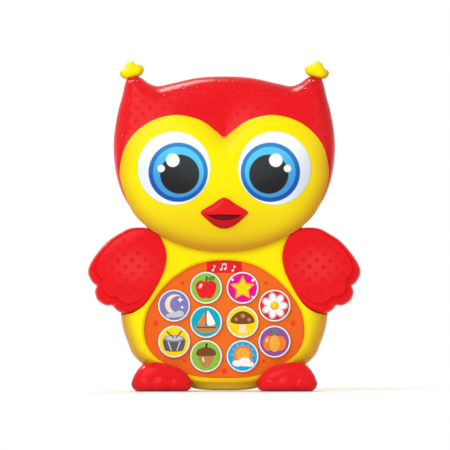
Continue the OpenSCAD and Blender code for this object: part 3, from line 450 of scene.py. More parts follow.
# Potted epoxy sets as a smooth black blob
chip_epoxy = dull("chip_epoxy_potted", "#141416", "#1F1F22", (0.2, 0.35), 1.2, 0.03)


# Where the film on a cell changes colour, from the middle of the bay, and how sharply
BAND_X, BAND_BLUR = 8, 0.2


def banded_cell():
    """Printed film shrunk on a steel can: two tones along the cell, with a glossy film over both."""
    material, tree, bsdf = surface(
        "cell_film_shrunk", IOR=1.5, Metallic=0.35, Coat_Weight=0.6, Coat_Roughness=0.15)
    body = grained(tree, bsdf, srgb("#C9A13B"), srgb("#B98F2E"), (0.25, 0.35), 0.7, 0.006)
    where = node(tree, "ShaderNodeTexCoord").outputs["Object"]
    along = node(tree, "ShaderNodeSeparateXYZ", {0: where}).outputs["X"]
    limits = {0: along, 1: (BAND_X - BAND_BLUR) * MM, 2: (BAND_X + BAND_BLUR) * MM, 3: 0.0, 4: 1.0}
    share = node(tree, "ShaderNodeMapRange", limits)
    tone = node(tree, "ShaderNodeMix", {0: share.outputs[0], 6: srgb("#26282C"), 7: body}, data_type="RGBA")
    tree.links.new(tone.outputs[2], bsdf.inputs["Base Color"])
    return material


cell_film = banded_cell()


def disc_share(tree, flat, x, z, r, blur=0.25):
    """1 within a disc of radius r round x, z and 0 outside it, with a print's soft edge."""
    far = node(tree, "ShaderNodeVectorMath", {0: flat, 1: (x * MM, 0, z * MM)}, operation="DISTANCE")
    limits = {0: far.outputs["Value"], 1: (r + blur) * MM, 2: (r - blur) * MM, 3: 0.0, 4: 1.0}
    return node(tree, "ShaderNodeMapRange", limits).outputs[0]


def slope_share(tree, flat, x, z, way, low, high):
    """From 0 at low to 1 at high millimetres from x, z along a way."""
    off = node(tree, "ShaderNodeVectorMath", {0: flat, 1: (x * MM, 0, z * MM)}, operation="SUBTRACT")
    aim = {0: off.outputs[0], 1: (way[0], 0, way[1])}
    along = node(tree, "ShaderNodeVectorMath", aim, operation="DOT_PRODUCT")
    limits = {0: along.outputs["Value"], 1: low * MM, 2: high * MM, 3: 0.0, 4: 1.0}
    return node(tree, "ShaderNodeMapRange", limits, interpolation_type="SMOOTHSTEP").outputs[0]


def flat_place(tree):
    """Where a point lies as seen from the front."""
    where = node(tree, "ShaderNodeTexCoord").outputs["Object"]
    return node(tree, "ShaderNodeVectorMath", {0: where, 1: (1, 0, 1)}, operation="MULTIPLY").outputs[0]


EYE_Z = CHIN_Z + EYE_RISE
# Rings printed on the right eye: middle, radius, then the colours low and high on the ring
EYE_RINGS = [
    (26.5, 125.9, 17.1, "#0F56AA", "#3585CB"),
    (26.4, 126.0, 14.6, "#4499D8", "#58CBF7"),
    (25.6, 124.8, 11.3, "#1C1A1B", "#34393B"),
    (29.6, 132.8, 3.85, "#FFFFFF", "#FFFFFF"),
    (36.3, 128.1, 2.1, "#FFFFFF", "#FFFFFF"),
]


def eye_print(name, side, edge_shade_tone):
    """Pad-printed inks on white ABS under a clear lacquer: flat rings that fade a little from top to foot, on
    a white painted greyer towards its outer foot as painted shade.
    """
    material, tree, bsdf = surface(name, IOR=1.5, Specular_IOR_Level=0.15)
    flat = flat_place(tree)
    white = grained(tree, bsdf, srgb("#FFFFFF"), srgb("#FAFBFD"), (0.28, 0.36), 0.9, 0.004)
    # Painted shade: the white goes greyer towards the eye's outer foot
    shade = slope_share(tree, flat, side * EYE_X, EYE_Z, (side * 0.94, -0.34), 2, 24)
    tone = node(tree, "ShaderNodeMix", {0: shade, 6: white, 7: srgb(edge_shade_tone)}, data_type="RGBA").outputs[2]
    for x, z, r, low, high in EYE_RINGS:
        rise = slope_share(tree, flat, side * x, z, (-side * 0.35, 0.94), -0.8 * r, 0.9 * r)
        ink = node(tree, "ShaderNodeMix", {0: rise, 6: srgb(low), 7: srgb(high)}, data_type="RGBA").outputs[2]
        share = disc_share(tree, flat, side * x, z, r)
        tone = node(tree, "ShaderNodeMix", {0: share, 6: tone, 7: ink}, data_type="RGBA").outputs[2]
    tree.links.new(tone, bsdf.inputs["Base Color"])
    return material


# Small round spots printed on the belly sheet: middle and radius
SPOTS = [(side * x, z, r) for x, z, r in ((24, 62.2, 1.15), (39.6, 39, 1.7), (22.9, 17.3, 1.15))
         for side in (-1, 1)] + [(0, 11.5, 1.7)]
TAB_HALF, TAB_LOW, TAB_BLUR = 10.1, 68, 0.1
# Middle of the belly sheet, where the ink keeps its bright orange; towards the rim it is painted deeper as
# painted shade of the recess
CORE_R, CORE_BLUR, CORE_DROP = 34, 14, 4


def belly_print():
    """Printed film on the panel: even orange ink, painted deeper towards the rim as painted shade, with red
    spots and a red tab.
    """
    material, tree, bsdf = surface("belly_film_screen_printed", IOR=1.5, Specular_IOR_Level=0.15)
    flat = flat_place(tree)
    ink = grained(tree, bsdf, srgb("#EF711B"), srgb("#F0781B"), (0.3, 0.4), 0.8, 0.006)
    # Painted shade: the ink goes deeper from this bright middle out to the rim of the recess
    core = disc_share(tree, flat, 0, BELLY_MID[1] - CORE_DROP, CORE_R, blur=CORE_BLUR)
    tone = node(tree, "ShaderNodeMix", {0: core, 6: srgb("#EB6219"), 7: ink}, data_type="RGBA").outputs[2]
    for x, z, r in SPOTS:
        share = disc_share(tree, flat, x, z, r)
        spotted = {0: share, 6: tone, 7: srgb("#E8421F")}
        tone = node(tree, "ShaderNodeMix", spotted, data_type="RGBA").outputs[2]
    part = node(tree, "ShaderNodeSeparateXYZ", {0: flat})
    wide = node(tree, "ShaderNodeMath", {0: part.outputs["X"]}, operation="ABSOLUTE").outputs[0]
    beside = {0: wide, 1: (TAB_HALF + TAB_BLUR) * MM, 2: (TAB_HALF - TAB_BLUR) * MM}
    above = {0: part.outputs["Z"], 1: (TAB_LOW - TAB_BLUR) * MM, 2: (TAB_LOW + TAB_BLUR) * MM}
    across, up = (node(tree, "ShaderNodeMapRange", limits).outputs[0] for limits in (beside, above))
    tab = node(tree, "ShaderNodeMath", {0: across, 1: up}, operation="MULTIPLY").outputs[0]
    tone = node(tree, "ShaderNodeMix", {0: tab, 6: tone, 7: srgb("#E31B23")}, data_type="RGBA").outputs[2]
    tree.links.new(tone, bsdf.inputs["Base Color"])
    return material


belly_film = belly_print()


# Hood: its crown rounds over, then the forehead slopes forward to the face
HOOD_LEDGE = FACE_RIM - FIT
HOOD_STEP, HOOD_LIP, SEAT_LIP, BROW_BLEND, EAR_BLEND, LEDGE_W = 0.2, 0.8, 0.5, 6, 8, 2
CROWN_ROUND, FOREHEAD, CROWN_SHARE = 10, 22, 0.72


def hood():
    """Rings from the rim over the crown to the face, then back inside to the seat and the ears' backs."""
    outer = even(HOOD, 420)
    a = headings(outer, HEAD_MID)
    out = np.linalg.norm(outer - HEAD_MID, axis=1)
    gap = reach(HEAD_CUT, HEAD_MID, a)
    edge = np.minimum(gap, out - HOOD_LIP)
    inner = edge - 2 * LEDGE_W
    seat = np.minimum(reach(SHELL, HEAD_MID, a), out - SEAT_LIP)
    hollow = np.minimum(out - WALL, seat - WALL / 2)
    under = np.minimum(edge, hollow) - SEAT_LIP
    front = mix(HOOD_LEDGE + HOOD_STEP, HOOD_DEPTH, ease((out - gap) / BROW_BLEND))
    swell = EAR_BACK * ease((out - seat - 2 * SEAT_LIP) / EAR_BLEND)
    steps = np.linspace(0, 1, 34) ** 1.5
    skin = np.array([fan(HEAD_MID, a, mix(out, edge, t)) for t in steps])
    from_rim = clearance(skin, outer)
    from_face = clearance(skin, fan(HEAD_MID, a, edge))
    bend = np.minimum(CROWN_ROUND, 0.95 * (from_rim + from_face) + 1e-6)
    crown = np.sqrt(1 - (1 - np.minimum(from_rim / bend, 1)) ** 2)
    brow = np.clip(1 - from_face / FOREHEAD, 0, 1) ** 1.6
    depth = front * mix(brow, crown, CROWN_SHARE)
    # Shares of the way over an ear's back, and how much it swells there
    back = [(0.2, 0.75), (0.4, 1), (0.6, 0.97), (0.8, 0.75), (0.93, 0.4)]
    under_y = WALL - HOOD_LEDGE
    within = [(edge, -HOOD_LEDGE), (inner, -HOOD_LEDGE), (inner, under_y), (under, under_y), (hollow, -WALL),
              (hollow, 0), (seat, 0)] + [(mix(seat, out, f), swell * lift) for f, lift in back]
    rings = [at_y(outer, 0)] + [at_y(p, -y) for p, y in zip(skin[1:], depth[1:])]
    rings += [at_y(fan(HEAD_MID, a, r), y) for r, y in within]
    return loft("hood", rings, loop=True)


# Raised rings on the hood and the wings, to grip by
DOT_ROW, DOT_STEP, DOT_MARGIN = 3.85, 7.8, 2.4
DOT_PROFILE = [(1.4, -0.35), (1.3, 0.06), (1.08, 0.28), (0.78, 0.28), (0.5, 0.12), (0.05, 0.1)]
# How far each ring of a dot's profile goes to the deep tone, as painted shade on the flanks
DOT_PAINTED_SHADE = [0.35, 0.25, 0, 0, 0.12, 0.08]


def dot_places(start, tilt, keep):
    """Places of a grid of dots from a first one, where keep says yes."""
    k, j = np.mgrid[-40:41, -20:21]
    grid = np.stack([(j + k % 2 / 2) * DOT_STEP, k * DOT_ROW], axis=-1).reshape(-1, 2)
    turn = np.array([[math.cos(tilt), math.sin(tilt)], [-math.sin(tilt), math.cos(tilt)]])
    at = grid @ turn + start
    return at[keep(at)]


def dots(name, carrier, places):
    """Small raised rings set square on the carrier's front, with painted shade on their flanks."""
    shape = carrier.data
    shape.calc_loop_triangles()
    tree = BVHTree.FromPolygons([v.co for v in shape.vertices], [t.vertices for t in shape.loop_triangles])
    points, faces = [], []
    a = around(20)[:, None]
    for x, z in places:
        hit, normal, _, _ = tree.ray_cast((x * MM, -1, z * MM), (0, 1, 0))
        if hit is None or normal.y > -0.35:
            continue
        up = np.array(normal)
        u = np.cross(up, (0, 0, 1))
        u /= np.linalg.norm(u)
        v = np.cross(up, u)
        rings = [np.array(hit) / MM + h * up + r * (np.cos(a) * u + np.sin(a) * v) for r, h in DOT_PROFILE]
        ring_points, ring_faces = lofted(rings)
        faces += [[len(points) + i for i in f] for f in ring_faces]
        points += ring_points.tolist()
    piece = build(name, points, faces)
    # Painted shade on the dots' flanks
    paint_light_and_shade(piece, np.resize(np.repeat(DOT_PAINTED_SHADE, len(a)), len(points)))
    return piece


def melted(radii, share, rounds):
    """Radii of rings, each evened out along its length by its share, so that notches fade inward."""
    for _ in range(rounds):
        radii = mix(radii, (np.roll(radii, 1, axis=1) + np.roll(radii, -1, axis=1)) / 2, share[:, None])
    return radii


# Face: a dome from its edge, at t = 0, to the head's middle, at t = 1
FACE_SIDE = FACE_RIM + FACE_EDGE


def face_depth(t):
    """Depth of the dome at the share t of the way in."""
    return mix(FACE_SIDE, FACE_DEPTH, (1 - (1 - np.clip(t, 0, 1)) ** 2.4) ** 0.7)


def face_at(points):
    """Depth of the dome at [x, z] points."""
    off = np.asarray(points, float).reshape(-1, 2) - HEAD_MID
    rim = reach(FACE, HEAD_MID, np.arctan2(off[:, 1], off[:, 0]))
    return face_depth(1 - np.linalg.norm(off, axis=1) / rim)


SOCKET_DEPTH = face_at([EYE_X, EYE_Z])[0] + EYE_PROUD - EYE_EDGE - EYE_DOME
BEAK_SEAT = face_at([0, BEAK_Z])[0] - BEAK_ROOT
YAW, PITCH = math.radians(EYE_YAW), math.radians(EYE_PITCH)


def eye_rings(profile, side, count=128):
    """Rings of radius and height round an eye's axis."""
    a = around(count)[:, None]
    level = math.cos(PITCH)
    axis = np.array([side * level * math.sin(YAW), -level * math.cos(YAW), math.sin(PITCH)])
    u = np.array([math.cos(YAW), side * math.sin(YAW), 0])
    v = np.cross(u, axis)
    mid = np.array([side * EYE_X, -SOCKET_DEPTH, EYE_Z])
    return [mid + h * axis + r * (np.cos(a) * u + np.sin(a) * v) for r, h in profile]


def face():
    """The mask, with sockets for the eyes and the beak."""
    outer = even(FACE, 400)
    a = headings(outer, HEAD_MID)
    steps = np.linspace(0, 0.985, 40) ** 1.7
    radii = melted(np.outer(1 - steps, np.linalg.norm(outer - HEAD_MID, axis=1)), ease(steps / 0.4), 64)
    rings = [at_y(outer, -FACE_RIM), at_y(outer, 0.6 - FACE_SIDE)]
    rings += [at_y(fan(HEAD_MID, a, r), -face_depth(t)) for r, t in zip(radii, steps)]
    piece = loft("face", rings)
    hole = EYE_D / 2 + SEAM
    sockets = [loft("tool", eye_rings([(hole, 0), (hole, FACE_DEPTH)], side)) for side in (-1, 1)]
    return cut(piece, *sockets, prism(grow(even(BEAK, 160), SEAM), -BEAK_SEAT, -FACE_DEPTH - 1))


def eye(name, side):
    """A disc with a low dome in front."""
    r = EYE_D / 2
    ball = (r ** 2 + EYE_DOME ** 2) / (2 * EYE_DOME)
    radii = [r - 0.12] + [r * s for s in np.linspace(0.985, 0.01, 24)]
    front = [(x, EYE_EDGE + EYE_DOME - ball + math.sqrt(ball ** 2 - x ** 2)) for x in radii]
    return loft(name, eye_rings([(r - 0.3, 0), (r, 0.3), (r, EYE_EDGE - 0.15)] + front, side))


def beak():
    """A pointed cushion with an open mouth."""
    outline = even(BEAK, 160)
    mid = np.array([0, BEAK_Z + BEAK_H / 2])
    side = face_at(outline) + FIT
    rings = [at_y(outline, -BEAK_SEAT), at_y(outline, 0.3 - side)]
    turns = np.radians(np.linspace(4, 89, 22))
    radii = np.outer(np.cos(turns), np.linalg.norm(outline - mid, axis=1))
    for r, turn in zip(melted(radii, ease(2 - 2 * np.cos(turns)), 40), turns):
        rings.append(at_y(fan(mid, headings(outline, mid), r), -mix(side, BEAK_DEPTH, math.sin(turn))))
    lips = BEAK_Z + 0.44 * BEAK_H
    u = np.linspace(-1, 1, 33)
    mouth = [(x * MOUTH_W / 2, lips + 0.1 * MOUTH_H * (1 - x * x)) for x in u]
    mouth += [(x * MOUTH_W / 2, lips - 0.9 * MOUTH_H * (1 - x * x)) for x in u[-2:0:-1]]
    piece = cut(loft("beak_piece", rings), prism(np.array(mouth), 3 - BEAK_DEPTH, -BEAK_DEPTH - 1))
    piece.data.materials.append(red_abs)
    piece.data.materials.append(mouth_painted_shade_red)
    # The faces inside the mouth take the dark red, painted shade for its hollow
    within = grow(np.array(mouth), 0.05)
    for p in piece.data.polygons:
        at = np.array(p.center) / MM
        deep = -at[1] < face_at([at[0], at[2]])[0] + 0.85 * (BEAK_DEPTH - FACE_DEPTH) and p.normal.y < 0.5
        p.material_index = int(deep and bool(inside(at[[0, 2]], within)) and -at[1] > BEAK_SEAT + 0.1)
    return piece


# Body: a frame from the belly opening to the shell's outline, cut back for the hood and the wings, with
# a web on each side of the neck that closes the corner between them
PANEL_Y = BODY_DEPTH - PANEL_RECESS
LIP, POCKET_DEEP = 0.6, 1.7
NECK_X, NECK_LOW, NECK_TOP = 34, 86, 106


def body_front():
    """Rings from the back edge over the front to the opening, then back inside it, joined with the webs."""
    opening = even(BELLY, 400)
    a = headings(opening, BELLY_MID)
    right = np.arctan2(np.sin(a), np.abs(np.cos(a)))
    open_way = reach(SHELL, BELLY_MID, a)
    beside = np.minimum(reach(HOOD_CUT, BELLY_MID, right), reach(WING_CUT, BELLY_MID, right))
    held = np.minimum(open_way, beside)
    edge = -LIP - (BODY_DEPTH - 1) * ease((1 - held / open_way) / 0.1)
    outer = fan(BELLY_MID, a, held)
    rim = grow(opening, BEVEL_W)
    pocket = grow(opening, LEDGE_W)
    hollow = fan(BELLY_MID, a, np.maximum(held - WALL, np.linalg.norm(pocket - BELLY_MID, axis=1) + 0.2))
    rings = [at_y(outer, 0), at_y(outer, edge)]
    for turn in np.radians(np.linspace(3, 87, 22)):
        rings.append(at_y(mix(outer, rim, 1 - math.cos(turn)), mix(edge, -BODY_DEPTH, math.sin(turn))))
    bevel = [(BEVEL_W - 0.25, -BODY_DEPTH), (BEVEL_W - 0.6, 0.3 - BODY_DEPTH), (0.1, -PANEL_Y - LIP - 0.1)]
    rings += [at_y(grow(opening, out), y) for out, y in bevel]
    rings += [at_y(opening, -PANEL_Y - LIP), at_y(opening, -PANEL_Y), at_y(pocket, -PANEL_Y),
              at_y(pocket, POCKET_DEEP - PANEL_Y), at_y(hollow, -2 * WALL), at_y(hollow, 0)]
    beside_neck = SHELL[(SHELL[:, 0] > NECK_X) & (SHELL[:, 1] > NECK_LOW) & (SHELL[:, 1] < NECK_TOP)]
    web = np.vstack([beside_neck, [(NECK_X, NECK_LOW), (NECK_X, NECK_TOP)]])
    webs = [prism(side, 0, -BODY_DEPTH / 2) for side in (web, web[::-1] * (-1, 1))]
    return joined("body_shell", [loft("frame", rings, loop=True)] + webs)


# Wings: a raised field inside a scalloped border
WING_MID = np.array([WING_X + 0.28 * WING_W, WING_Z + 0.79 * WING_H])
WING_RIM = WING_T - 2 * WING_STEP
# Middle of the painted sheen on each wing
WING_PALE = np.array([WING_X + 0.42 * WING_W, WING_Z + 0.56 * WING_H])
# Shares of the way out: the edge's curl, where the field steps up and over how much, and the field's crest
WING_CURL, WING_EDGE, WING_RISE, WING_CREST = 0.075, 0.872, 0.026, 0.85


def wing_depth(s, outward):
    """Depth at the share s of the way from the wing's middle to its outline."""
    bend = np.clip((1 - s) / WING_CURL, 0, 1)
    curl = np.sqrt(1 - (1 - bend) ** 2)
    crest = np.clip(1 - (s / WING_CREST) ** 2, 0, 1)
    border = WING_RIM * mix(0.4, 1, curl) + WING_STEP * (ease((WING_EDGE - s) / WING_RISE) + crest)
    beside = mix(BODY_DEPTH, WING_T - 0.6, curl) + 0.6 * crest
    return mix(beside, border, outward)


def wing(name, side):
    """A wing, cut back for the head in front of it."""
    outline = even(WING, 360)
    outward = ease((outline[:, 0] - WING_X - 0.09 * WING_W) / (0.55 * WING_W))
    curl = 1 - 0.08 * np.linspace(0, 1, 9) ** 1.6
    steps = np.concatenate([curl, np.linspace(0.905, 0.835, 12), np.linspace(0.8, 0.01, 14)])
    rings = [at_y(scaled(outline, WING_MID, 0.95), -FIT), at_y(scaled(outline, WING_MID, 0.985), -FIT - 0.9),
             at_y(outline, -3)]
    rings += [at_y(scaled(outline, WING_MID, s), -wing_depth(s, outward)) for s in steps]
    tools = [prism(outline, 1, -WING_T - 1) for outline in (HEAD_CUT, HOOD_CUT)]
    return mirrored(cut(loft(name, rings), *tools), side)


def mirrored(piece, side):
    """The piece, turned into its twin for the left side, which is -1."""
    if side > 0:
        return piece
    work = bmesh.new()
    work.from_mesh(piece.data)
    for v in work.verts:
        v.co.x = -v.co.x
    bmesh.ops.reverse_faces(work, faces=work.faces)
    work.to_mesh(piece.data)
    work.free()
    return piece


# Feet: pillows with three low toes
TOE_W, TOE_H, TOE_Z = 5.4, 6.2, 2


def toe(points):
    """How far the front stands back from the toes' crests."""
    crest = 0
    for share in (0.2, 0.5, 0.8):
        off = (points - (FOOT_X + share * FOOT_W, TOE_Z)) / (TOE_W, TOE_H)
        crest = np.maximum(crest, np.clip(1 - (off ** 2).sum(axis=-1), 0, 1) ** 0.7)
    return TOE_CREASE * (1 - crest)


def foot(name, side):
    """A foot with a flat sole, cut out where the body stands in it."""
    outline = even(FOOT, 200)
    mid = np.array([FOOT_X + FOOT_W / 2, 0.35 * FOOT_H])
    rings = []
    for turn in np.radians(np.linspace(88, 0, 14)):
        p = scaled(outline, mid, math.cos(turn) ** 0.42)
        rings.append(at_y(p, FOOT_BACK - FOOT_ROUND * (1 - math.sin(turn))))
    for turn in np.radians(np.linspace(0, 89, 26)):
        p = scaled(outline, mid, math.cos(turn) ** 0.68)
        rings.append(at_y(p, FOOT_ROUND * (1 - math.sin(turn)) - FOOT_FRONT + math.sin(turn) ** 2 * toe(p)))
    rings = np.array(rings)
    rings[..., 2] = np.maximum(rings[..., 2], 0)
    body = prism(grow(even(SHELL, 300), FIT), FOOT_BACK + 1, -BODY_DEPTH - FIT)
    return mirrored(cut(loft(name, rings), body), side)


def tassel(name, side):
    """A three-lobed tuft on an ear's tip."""
    outline = even(TASSEL, 180)
    mid = TASSEL_AT + (0.5 * TASSEL_W, 0.42 * TASSEL_H)
    turns = np.radians(np.linspace(-88, 88, 41))
    size = np.cos(turns) ** 0.6
    radii = melted(np.outer(size, np.linalg.norm(outline - mid, axis=1)), ease((1 - size) / 0.6), 40)
    a = headings(outline, mid)
    rings = [at_y(fan(mid, a, r), -TASSEL_T / 2 * math.sin(turn)) for r, turn in zip(radii, turns)]
    return mirrored(loft(name, rings), side)


# How far in from its outline the painted shade of a piece reaches
HOOD_SHADE, FACE_SHADE, TASSEL_SHADE, FOOT_SHADE, BODY_SHADE = 8, 10, 3, 3.2, (9, 14)
# The band beside the belly opening that is kept free of painted shade
BRIGHT_RIM = 1.9
# First dots of the hood and the right wing, and how the wing's rows lean
HOOD_DOT, WING_DOT, WING_LEAN = (0, CHIN_Z + 70.1), (53.6, 83.1), math.radians(-3)
# A wing's dotted field as a share of its outline, and half the size of its painted sheen in the middle
WING_FIELD, WING_GLOW = 0.84, (19, 15)

# Head: painted shade deepens the mask and the hood towards the chin and the right side
hood_shell = place(hood(), red_abs, "hood_front")
at = corners(hood_shell)
paint_light_and_shade(hood_shell, 0.4 * ease(1 - distance(at[:, [0, 2]], HOOD) / HOOD_SHADE) * ease((at[:, 0] - 15) / 35))
place(dots("hood_dots", hood_shell, dot_places(
    HOOD_DOT, 0, lambda p: inside(p, HOOD) & ~inside(p, FACE)
    & (distance(p, HOOD) > DOT_MARGIN) & (distance(p, FACE) > DOT_MARGIN))), red_abs)
face_shell = place(face(), yellow_abs, "face_mask")
at = corners(face_shell)
low = np.clip((HEAD_MID[1] - 4 - at[:, 2]) / 42, 0, 1) ** 1.2
right = ease((at[:, 0] - 30) / 30) * ease((155 - at[:, 2]) / 30)
edge = np.clip(1 - distance(at[:, [0, 2]], FACE) / FACE_SHADE, 0, 1) ** 1.5 * ease((165 - at[:, 2]) / 40)
paint_light_and_shade(face_shell, 0.6 * low + 0.4 * right + 0.7 * edge)
# Each eye's white takes its own greyer tone at the outer foot, as painted shade
for name, side, edge_shade_tone in (("left", -1, "#E2EBF2"), ("right", 1, "#CDD7E1")):
    print_ink = eye_print("eye_ink_pad_printed_" + name, side, edge_shade_tone)
    place(eye("eye_lens_" + name, side), print_ink, "eye_" + name)
    tuft = place(tassel("tassel_" + name, side), yellow_abs, "ear_tassel_" + name)
    # Painted shade on the tassels' lower edges and their outer side
    at = corners(tuft)[:, [0, 2]] - EAR_TIP * (side, 1)
    rim = ease(1 - distance(corners(tuft)[:, [0, 2]] * (side, 1), TASSEL) / TASSEL_SHADE)
    paint_light_and_shade(tuft, 0.8 * rim * ease((5 - at[:, 1]) / 6) + 0.5 * ease((at[:, 0] - 2) / 5))
bill = place(beak(), red_abs, "beak")
# Painted shade on the lower half of the beak
paint_light_and_shade(bill, 0.6 * ease((BEAK_Z + 0.5 * BEAK_H - corners(bill)[:, 2]) / 4))

# Body, wings and feet
body_shell = place(body_front(), yellow_abs, "body_front")
# Painted shade on the body's sides and on the band below the belly opening
at = corners(body_shell)
width = mix(*BODY_SHADE, ease((at[:, 0] + 30) / 60))
sides = ease(1 - distance(at[:, [0, 2]], SHELL) / width) * ease((70 - at[:, 2]) / 20)
foot_band = ease((distance(at[:, [0, 2]], BELLY) - BRIGHT_RIM) / 0.8) * ease((20 - at[:, 2]) / 12)
paint_light_and_shade(body_shell, np.maximum(sides, foot_band) * mix(0.3, 1, ease((at[:, 2] - 0.5) / 5)))
for name, side in (("left", -1), ("right", 1)):
    field = scaled(even(WING, 200), WING_MID, WING_FIELD)
    wing_shell = place(wing("wing_shell_" + name, side), painted_sheen_red, "wing_" + name)
    at = corners(wing_shell)[:, [0, 2]] * (side, 1)
    # Painted sheen: paler in the wing's middle, going to the plain red towards its edges
    paint_light_and_shade(wing_shell, ease(np.linalg.norm((at - WING_PALE) / WING_GLOW, axis=1)))
    at = dot_places(
        WING_DOT, WING_LEAN, lambda p: inside(p, field) & (distance(p, field) > DOT_MARGIN)
        & ~inside(p, HEAD_CUT) & ~inside(p, HOOD_CUT))
    place(dots("wing_dots_" + name, wing_shell, at * (side, 1)), red_abs)
    pad = place(foot("foot_pad_" + name, side), red_abs, "foot_" + name)
    at = corners(pad)[:, [0, 2]]
    # Painted shade along the feet's lower edges and towards their right ends
    low = ease(1 - distance(at * (side, 1), FOOT) / FOOT_SHADE) * ease((9 - at[:, 1]) / 7)
    right = at[:, 0] - 0.35 * at[:, 1] - side * FOOT_X - (FOOT_W if side > 0 else 0)
    paint_light_and_shade(pad, np.maximum(0.55 * ease((right + 7) / 9), 0.75 * low))


# Keys: white caps that carry a printed disc in a low rim
KEY_D, KEY_PROUD, KEY_RIM, PICTURE_T, PANEL_T, FLANGE_T = 18.4, 2.4, 0.8, 0.3, 2, 1
KEY_SOFT, DISC_SOFT, DISC_GAP = 0.14, 0.05, 0.1
FLANGE_Y = PANEL_Y - PANEL_T - FIT
KEY_Y = PANEL_Y + KEY_PROUD
PICTURE_R = KEY_D / 2 - KEY_RIM - DISC_GAP
# Radius at which the ends of a turned solid are closed
TIP = 0.05
KEY_ROWS = [(10.5, 59.45), (28.9, 49.2), (10.5, 39.8), (28.9, 28.5), (10.5, 20.15)]
KEY_PLACES = [(side * x, z) for x, z in KEY_ROWS for side in (-1, 1)]


def turned(name, profile, x, z, y, count=72):
    """A solid turned round an axis that points at the viewer: radii with their heights in front of y."""
    return loft(name, [at_y(circle(x, z, r, count), y - h) for r, h in profile])


def key_cap(name, x, z):
    """A flanged cap with a soft edge and a recess for its disc."""
    r = KEY_D / 2
    top = KEY_Y - FLANGE_Y + FLANGE_T
    bend = np.radians(np.linspace(0, 90, 7))
    profile = [(TIP, 0), (r + FIT, 0), (r + FIT, FLANGE_T), (r, FLANGE_T + 0.1)]
    profile += [(r - KEY_SOFT * (1 - math.cos(b)), top - KEY_SOFT * (1 - math.sin(b))) for b in bend]
    profile += [(r - KEY_RIM + 0.1, top), (r - KEY_RIM, top - 0.08), (r - KEY_RIM, top - PICTURE_T),
                (TIP, top - PICTURE_T)]
    return turned(name, profile, x, z, FLANGE_T - FLANGE_Y)


def ink(name, colour):
    """Offset ink under a clear gloss film: flat colour with a faint mottle of the print's screen."""
    material, tree, bsdf = surface("picture_ink_" + name, IOR=1.5, Specular_IOR_Level=0.15)
    deep = [c * 0.94 for c in srgb(colour)[:3]] + [1.0]
    tree.links.new(grained(tree, bsdf, srgb(colour), deep, (0.22, 0.34), 0.6, 0.004, cloud_mm=3),
                   bsdf.inputs["Base Color"])
    return material


INKS = {name: ink(name, colour) for name, colour in {
    "lime": "#8CC63F", "magenta": "#EC008C", "lavender": "#837DBE", "red": "#ED1C24", "teal": "#00AEC7",
    "yellow": "#FFDE00", "violet": "#9253A1", "sky": "#00AEEF", "white": "#FDFDFB", "cream": "#F6E3BE",
    "brown": "#7B4A25", "umber": "#4E2C16", "tan": "#C08A4E", "orange": "#F58220", "amber": "#FBB040",
    "grey": "#8F9298", "slate": "#55606B", "pale_grey": "#C9CDD2", "leaf": "#3E9B3A"}.items()}


# Outlines for the pictures, in shares of a disc's radius
def oval(x, z, rx, rz, turn=0, count=40):
    """An oval, turned by some degrees."""
    a = -around(count)
    u, v = rx * np.cos(a), rz * np.sin(a)
    c, s = math.cos(math.radians(turn)), math.sin(math.radians(turn))
    return np.stack([x + u * c - v * s, z + u * s + v * c], axis=1)


def star(x, z, far, near, count, turn=90):
    """A star with count points, the first of them at turn degrees."""
    a = math.radians(turn) - np.arange(2 * count) * math.pi / count
    return fan((x, z), a, np.where(np.arange(2 * count) % 2 == 0, far, near))


def curve(*points):
    """A soft closed shape through points that run clockwise."""
    return smooth(points, 8)


def even_curve(*half):
    """A soft closed shape from its right half, listed from the top down."""
    return smooth(both_sides(half), 8)


def corner(*points):
    """A shape with straight sides through points that run clockwise."""
    return np.array(points, float)


def petals(x, z, ring, rx, rz, count):
    """Ovals that point outward from a ring."""
    return [oval(x + ring * math.cos(b), z + ring * math.sin(b), rx, rz, math.degrees(b), 24)
            for b in around(count)]


def crescent(x, z, r, bite):
    """A moon open to the right: its horns lie on the outer circle, and its hollow bites in as far as said."""
    horn = math.radians(48)
    tip_x, tip_z = r * math.cos(horn), r * math.sin(horn)
    deep = r - bite
    hollow = ((tip_x + deep) ** 2 + tip_z ** 2) / (2 * (tip_x + deep))
    mid = hollow - deep
    sweep = math.atan2(tip_z, tip_x - mid)
    out = np.linspace(2 * math.pi - horn, horn, 32)
    back = np.linspace(sweep, 2 * math.pi - sweep, 32)[1:-1]
    return np.vstack([fan((x, z), out, r), fan((x + mid, z), back, hollow)])


